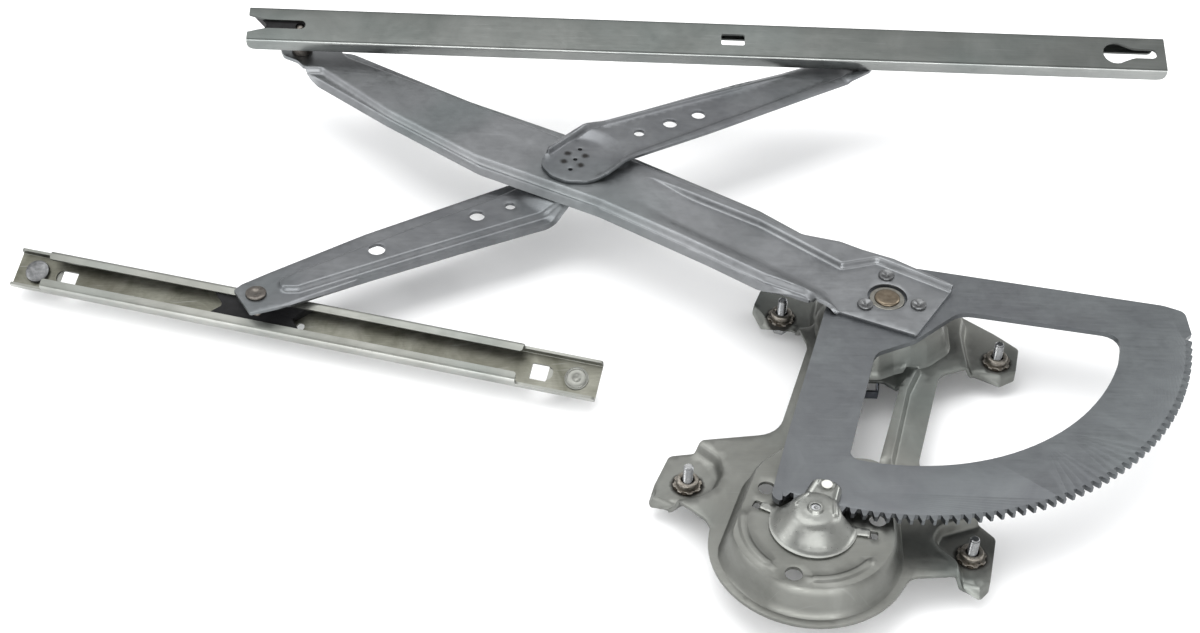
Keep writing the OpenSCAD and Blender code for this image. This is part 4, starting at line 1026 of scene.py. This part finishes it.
# %% [markdown]
# ## The pinion's cover
# A deep-drawn bell holds the outer end of the pinion. Its rim is a narrow flange with two ears bent
# down through the bracket, its side is cut open where the sector passes, and a tab with two raised
# ribs reaches over the sector to a nylon button that keeps the plate from chattering. All of it is
# sheet that a press can reach from above, so it is pressed like the bracket.

# %% Cover
BUTTON = np.array([-42.8, -139.9])
toward = (BUTTON - PINION) / np.linalg.norm(BUTTON - PINION)
beside = np.array([-toward[1], toward[0]])
on_cover, _ = own_axes(PINION, toward, beside)
# the rim's radius, and the radius about the main pivot inside which the rim is cut away
RIM_R, SECTOR_CLEAR = 20.9, 162.9
bell_r = [0, 3.4, 4.0, 8.2, 9.6, 10.9, 12.0, 13.0, 14.5, 18.3, 18.9, 19.5, 20.2, 60]
bell_z = [36.1, 36.1, 34.8, 34.65, 34.4, 33.85, 33.0, 31.8, 29.9, 25.1, 24.5, 24.1, 23.8, 23.8]

tab = on_cover([(-2, -10.6), (8.5, -8.6), (19.5, -7.4), (23.2, -3.6), (23.2, 3.6), (19.5, 7.4),
                (8.5, 8.6), (-2, 10.6)])
tab = rounded([(*corner, 2.5) for corner in tab])
ribs = [on_cover([(0.4, side * 9.8), (8.7, side * 6.9), (20.3, side * 5.6)]) for side in (-1, 1)]


def cover_height(p):
    q = p - PINION
    r = np.hypot(q[:, 0], q[:, 1])
    z = np.interp(r, bell_r, bell_z)
    z = z - 4.8 * fold((r - 26.6) / 1.3, 0.3)
    flat = 31.4 + 1.7 * fold(depth(p, tab) / 1.9, 0.4)
    z = np.where(depth(p, tab) > -0.01, np.maximum(z, flat), z)
    for rib in ribs:
        z = z + 0.9 * fold((1.9 - distance(p, rib, closed=False)) / 1.5, 0.5)
    gap = np.linalg.norm(p - BUTTON, axis=1)
    return z - 0.55 * fold((4.6 - gap) / 0.9, 0.4)


reach = np.linalg.norm(PINION)
half = math.degrees(math.acos((RIM_R ** 2 + reach ** 2 - SECTOR_CLEAR ** 2) / (2 * RIM_R * reach)))
back = math.degrees(math.atan2(-PINION[1], -PINION[0]))
skirt = ring(*PINION, RIM_R, 72, back + half, back + 360 - half)
ends = [math.degrees(math.atan2(y, x)) for x, y in (skirt[-1], skirt[0])]
skirt = np.vstack([skirt, ring(0, 0, SECTOR_CLEAR, 16, *ends)[1:-1]])
ears = [beside_pinion(angle, 18.5, 28.0, 2.4, 0.6, 3) for angle in EAR_ANGLES]
cover_lines = [looped(ring(*PINION, r, 72)) for r in (3.35, 3.7, 4.0, 8.2, 9.6, 10.3, 10.9, 11.5, 12.0)]
cover_lines += [ring(*PINION, r, 60, 153.5, 351.5) for r in (13.0, 14.5, 16.4, 18.3, 18.9, 19.5, 20.2)]
cover_lines += [ring(*PINION, r, 5, a - 4.6, a + 4.6) for r in (26.6, 26.9, 27.25, 27.6, 27.9)
                for a in EAR_ANGLES]
cover_lines += [looped(moved_in(with_points(tab, 1.5), d)) for d in (0.7, 1.3, 1.9)]
for rib in ribs:
    cover_lines += [with_points(rib, 1.5, closed=False) + away * beside
                    for away in (-1.9, -1.2, -0.4, 0.4, 1.2, 1.9)]
cover_lines += [looped(ring(*BUTTON, r, 32)) for r in (3.7, 4.1, 4.6)]
cover = pressed("pinion_cover_pressing", [skirt, ring(*PINION, 12.5, 72), tab, *ears],
                [ring(*PINION, 2.35, 28), ring(*BUTTON, 1.95, 20)], cover_lines, cover_height, 1.2,
                cell=1.6, rim=0.12)
finish(cover, "bracket", "cover_zinc", (COVER_ZINC, CUT_EDGE_AND_HIGHLIGHT), "pinion_cover")

# %% [markdown]
# The button is moulded nylon: a broad foot that rubs on the sector, a neck that snaps through the
# tab and a low round head above it.

# %% Guide button
button = [(0, 33.6), (0.9, 33.7), (1.9, 33.65), (2.5, 33.3), (2.7, 32.9), (2.6, 32.65), (1.85, 32.6),
          (1.85, 31.5), (3.6, 31.35), (3.9, 31.0), (4.0, 30.4), (3.8, 29.75), (0, 29.7)]
button = spun("nylon_guide_button", button, 48, BUTTON)
finish(smooth(button), "bracket", "white_nylon", (WHITE_NYLON,), "guide_button")


# %% [markdown]
# ## Fasteners
# Four hexagon bolts come up through nuts that are projection-welded inside the feet. The thread is
# real: a notched profile is wound up the shank by a Screw modifier and cut off flat at both ends.

# %% Mounting bolts
PITCH, TURNS = 0.8, 15
thread = first_vertex("thread", 2.2, 0, 3.0)
for x, z in ((0.3, 0.32), (0, 0.16), (-0.3, 0.32)):
    drag(x, 0, z)
leave(thread)
wind = thread.modifiers.new("thread", "SCREW")
wind.angle, wind.screw_offset, wind.iterations = 2 * math.pi, PITCH * MM, TURNS
wind.steps = wind.render_steps = 28
wind.use_merge_vertices, wind.merge_threshold = True, 1e-6
apply_all(thread)
for height, keep_above in ((3.6, True), (14.4, False)):
    edit(thread)
    merged()
    everything()
    bpy.ops.mesh.bisect(plane_co=(0, 0, height * MM), plane_no=(0, 0, 1), use_fill=True,
                        clear_inner=keep_above, clear_outer=not keep_above)
    normals_out()
    leave(thread)
shank = [(0, 15.0), (1.75, 15.0), (2.2, 14.6), (2.2, -2.1), (5.0, -2.2), (5.2, -2.4), (5.2, -3.1),
         (4.6, -3.5), (0, -3.5)]
shank = spun("bolt_shank", shank, 48)
bpy.ops.mesh.primitive_cylinder_add(vertices=6, radius=4.6 * MM, depth=3.4 * MM,
                                    location=(0, 0, -5.0 * MM), rotation=(0, 0, math.radians(15)))
hexagon = bpy.context.object
settled()
broken_edges(hexagon, 0.45, 30, 3)
bolts = copies(joined("mounting_bolts_m5", [smooth(thread), smooth(shank), hexagon]), MOUNTS)
finish(bolts, "bracket", "bolt_zinc", (BOLT_ZINC,), "mounting_bolts")

# %% [markdown]
# A weld nut has a round barrel on a flange with eight lobes. The lobes melt into the sheet, and
# some of the metal is squeezed out as rough beads.

# %% Weld nuts
barrel = [(5.65, 2.9), (5.65, 5.7), (5.3, 6.2), (4.9, 6.4), (3.7, 6.4), (3.2, 5.9), (3.2, 1.9),
          (5.0, 1.9), (5.65, 2.9)]
barrel = spun("weld_nuts_flanged", barrel, 48)
bpy.ops.mesh.primitive_cylinder_add(vertices=96, radius=6.5 * MM, depth=1.3 * MM,
                                    location=(0, 0, 2.45 * MM))
flange = bpy.context.object
settled()
mesh = edit(flange)
pick(mesh.verts, lambda vert: math.degrees(math.atan2(vert.co.y, vert.co.x)) % 45 < 21)
mesh.select_flush_mode()
bpy.ops.transform.resize(value=(1.13, 1.13, 1), center_override=(0, 0, 0))
leave(flange)
boolean(flange, [prism(ring(0, 0, 3.3, 40), 1, 4)])
broken_edges(flange, 0.28, 40)
beads = []
# each bead: its angle round the nut and its size
round_nut = ((20, 1.2), (75, 0.9), (118, 1.3), (205, 1.1), (262, 1.4), (318, 0.9))
for k, (angle, size) in enumerate(round_nut):
    x, y = 6.6 * MM * heading(angle)[0]
    bpy.ops.mesh.primitive_ico_sphere_add(subdivisions=3, radius=size * MM, location=(x, y, 2.1 * MM),
                                          rotation=(0, 0, math.radians(angle)))
    bead = bpy.context.object
    bead.scale = (0.7, 1.5, 0.55)
    settled()
    edit(bead)
    everything()
    bpy.ops.transform.vertex_random(offset=0.14 * MM, seed=k)
    leave(bead)
    beads.append(smooth(bead, 60))
nut = joined("nut_body", [smooth(barrel), flange])
nut.data.materials.append(NUT_STEEL)
bead = joined("nut_beads", beads)
bead.data.materials.append(BEAD_STEEL)
nuts = copies(joined("weld_nuts_flanged", [nut, bead]), MOUNTS)
finish(nuts, "bracket", "welded_steel", (), "weld_nuts")

# %% [markdown]
# ## Rivets and pivot
# Three rivets hold the arm to the sector. Their heads are dished by the heading tool, and the
# light catches the outer roll of each. The pivot's head stands in the middle of a turned collar.

# %% Sector rivets
rivet = [(0, 32.0), (1.0, 32.05), (1.35, 32.4), (2.4, 32.75), (3.2, 33.2), (3.8, 33.25), (4.15, 32.9),
         (4.25, 32.4), (4.2, 31.75), (2.2, 31.7), (2.2, 26.5), (3.2, 26.45), (3.4, 26.2), (3.3, 25.7),
         (3.0, 25.5), (0, 25.5)]
rivet = spun("sector_rivets_dished", rivet, 48)
rivets = copies(smooth(rivet), from_main([(8.1, 15.1), (6.7, -12.7), (-16.6, 3.1)]))
finish(rivets, "main_lever", "rivet_steel", (RIVET_STEEL,), "sector_rivets")

# %% Pivot shaft
pivot = [(0, 31.75), (3.0, 31.8), (5.4, 31.95), (6.2, 31.8), (6.7, 31.3), (6.8, 30.8), (6.0, 30.6),
         (6.0, 19.15), (5.0, 19.15), (5.0, 17.55), (6.0, 17.55), (6.0, 1.2), (5.4, 0.5), (0, 0.5)]
pivot = spun("pivot_shaft_headed", pivot)
slit = prism([(-5.2, -0.8), (7, -0.8), (7, 0.8), (-5.2, 0.8)], 0, 14)
only(slit)
slit.rotation_euler = (0, 0, math.radians(82))
settled()
boolean(pivot, [slit])
finish(smooth(pivot), "main_lever", "pivot_steel", (PIVOT_STEEL,), "pivot_shaft")


# %% [markdown]
# ## Ball studs
# Each arm ends in a stud headed over its sheet, with a collar, a neck and a ball that sits in a
# nylon slider. The ball is turned with the stud. z is counted from the ball's middle, and the
# lower arm's stud points down.

# %% Ball studs
BALL_R = 3.6
ball = [tuple(BALL_R * heading(angle)[0]) for angle in range(-35, 90, 9)]


def ball_stud(name, seat, back, collar, up, centre, height):
    """The sheet lies between seat and back; the dished head is beyond it, the collar before it."""
    head, top = back - 1.4, seat + collar
    profile = [(0, head + 0.55), (1.6, head + 0.5), (2.3, head + 0.1), (3.2, head), (5.0, head),
               (5.45, head + 0.3), (5.6, head + 0.8), (5.45, back - 0.15), (4.0, back), (4.0, seat),
               (5.8, seat), (6.0, seat + 0.25), (6.0, top - 0.4), (5.6, top), (2.9, top), *ball,
               (0, BALL_R)]
    return smooth(spun(name, [(r, height + up * z) for r, z in profile], 48, centre))


# node, body, the sheet's two faces, the collar's height, up or down, the ball's place and height
studs = [("main_arm_ball_stud", "main_lever", -14.6, -16.8, 7, 1, "main", UPPER_BALL),
         ("upper_arm_ball_stud", "equalizer", -9.8, -11.6, 1.6, 1, "upper", UPPER_BALL),
         ("lower_arm_ball_stud", "equalizer", -11.5, -13.3, 3, -1, "lower", LOWER_BALL)]
for node, body, seat, back, collar, up, where, height in studs:
    piece = ball_stud(node + "_turned", seat, back, collar, up, PIVOT_STUDS[where], height)
    finish(piece, body, "rivet_steel", (STUD_STEEL,), node)

# %% [markdown]
# ## Pieces that keep their CAD shape
# The sector's involute teeth, the pinion, the spiral spring, the sliders and the rings are exact in
# the CAD already. A copy of each is cleaned, and its edges are broken as the deburring drum does it.

# %% Deburred copies
def deburred(name, node, width, angle=50):
    obj = linked(name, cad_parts[node].data.copy())
    edit(obj)
    merged()
    everything()
    bpy.ops.mesh.dissolve_limited(angle_limit=math.radians(0.5))
    normals_out()
    leave(obj)
    return broken_edges(obj, width, angle)


# name, node, width of the broken edge, body, finish in the record, material
kept = [("toothed_sector", "sector_gear", 0.25, "main_lever", "sector_zinc", SECTOR_ZINC),
        ("turned_pivot_collar", "shaft_collar", 0.35, "main_lever", "pivot_steel", COLLAR_STEEL),
        ("pivot_thrust_washer", "thrust_washer", 0.15, "main_lever", "dark_washer", DARK_STEEL),
        ("split_retaining_ring", "shaft_retaining_ring", 0.2, "main_lever", "spring_steel", DARK_STEEL),
        ("flanged_bronze_bush", "pivot_bush", 0.25, "bracket", "bronze", BRONZE),
        ("spiral_counterbalance_spring", "counterbalance_spring", 0.2, "bracket", "spring_steel",
         SPRING_STEEL),
        ("welded_joint_hub", "equalizer_hub", 0.4, "equalizer", "arm_zinc", EQUAL_ZINC),
        ("nine_tooth_pinion", "drive_pinion", 0.2, "pinion", "pinion_steel", PINION_STEEL),
        ("main_arm_nylon_slider", "main_arm_slider", 0.5, "main_slider", "black_nylon", BLACK_NYLON),
        ("upper_arm_nylon_slider", "upper_arm_slider", 0.5, "upper_slider", "black_nylon", BLACK_NYLON),
        ("lower_arm_nylon_slider", "lower_arm_slider", 0.5, "lower_slider", "black_nylon", BLACK_NYLON)]
for name, node, width, body, slot_name, material in kept:
    piece = deburred(name, node, width)
    finish(piece, body, slot_name, (material,), node)
    print(name, "has", len(piece.data.polygons), "faces")
    if node == "drive_pinion":
        # the pin that turns in the cover is ground bright, with a lathe centre in its end
        boolean(piece, [spun("cutter", [(0, 34.4), (0.9, 35.3), (0.9, 36), (0, 36)], 24, PINION)])
        piece.data.materials.append(BOLT_ZINC)
        for face in piece.data.polygons:
            if face.center.z > 34.2 * MM:
                face.material_index = 1


# %% [markdown]
# ## Floor, light and camera
# The floor is plain and pale. Wide soft lamps stand round it as in a studio. What metal mirrors is
# the pale room, so the world is white for the camera and for reflections and a little dimmer
# as a light.

# %% Floor
low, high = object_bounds()
middle = Vector(((low.x + high.x) / 2, (low.y + high.y) / 2, 0))
bpy.ops.mesh.primitive_plane_add(size=14, location=(middle.x, middle.y, low.z - 0.0005))
floor = bpy.context.object
floor.name = "floor"
paper = bpy.data.materials.new("white_paper")
paper.use_nodes = True
tree = paper.node_tree
feed(tree, tree.nodes["Principled BSDF"], {"Roughness": 0.9, "Base Color": linear("f4f4f4")})
floor.data.materials.append(paper)

# %% World and lamps
world = bpy.data.worlds.new("studio")
bpy.context.scene.world = world
world.use_nodes = True
tree = world.node_tree
sky = tree.nodes["Background"]
feed(tree, sky, {"Color": linear("f7f7f7"), "Strength": 1.0})
room = add(tree, "Background", {"Color": linear("f2f3f4"), "Strength": 1.0})
path = add(tree, "LightPath")
mirrored = add(tree, "Math", {0: path.outputs["Is Glossy Ray"], 1: path.outputs["Is Transmission Ray"]},
               operation="ADD")
seen = add(tree, "Math", {0: path.outputs["Is Camera Ray"], 1: mirrored}, operation="ADD")
both = add(tree, "MixShader", {0: seen, 1: room, 2: sky})
feed(tree, tree.nodes["World Output"], {"Surface": both})

# each lamp: its place from the object's middle, its two sides in metres and its power in watts
lamps = {"overhead_softbox": ((-0.2, 0.3, 1.6), (1.6, 1.1), 16),
         "left_softbox": ((-1.4, -0.3, 0.9), (0.8, 1.2), 8),
         "front_softbox": ((0, -1.5, 0.45), (2.0, 0.35), 19),
         "right_softbox": ((1.3, 0.5, 0.7), (0.7, 1.1), 9)}
for name, (place, sides, watts) in lamps.items():
    data = bpy.data.lights.new(name, "AREA")
    data.shape, data.size, data.size_y, data.energy = "RECTANGLE", *sides, watts
    lamp = linked(name, data)
    lamp.location = middle + Vector(place)
    lamp.rotation_euler = (-Vector(place)).to_track_quat("-Z", "Y").to_euler()

# %% Camera at the photograph's angle
# turn about the vertical, look down and roll in radians; place in millimetres
AZ, EL, ROLL = 0.021, 0.716, -0.046
CAMERA_AT, LENS_MM, SENSOR_MM = (-167.4, -794.5, 702.9), 59.4, 36.0
right = Vector((math.cos(AZ), -math.sin(AZ), 0))
ahead = Vector((math.sin(AZ) * math.cos(EL), math.cos(AZ) * math.cos(EL), -math.sin(EL)))
down = ahead.cross(right)
image_right = math.cos(ROLL) * right + math.sin(ROLL) * down
image_down = -math.sin(ROLL) * right + math.cos(ROLL) * down
camera_data = bpy.data.cameras.new("camera")
camera_data.lens, camera_data.sensor_width = LENS_MM, SENSOR_MM
camera = linked("camera", camera_data)
turn = Matrix((image_right, -image_down, -ahead)).transposed()
camera.matrix_world = moved_to(*CAMERA_AT) @ turn.to_4x4()
camera_data.clip_start, camera_data.clip_end = 0.05, 50
bpy.context.scene.camera = camera
bpy.context.scene.view_settings.view_transform = "Standard"
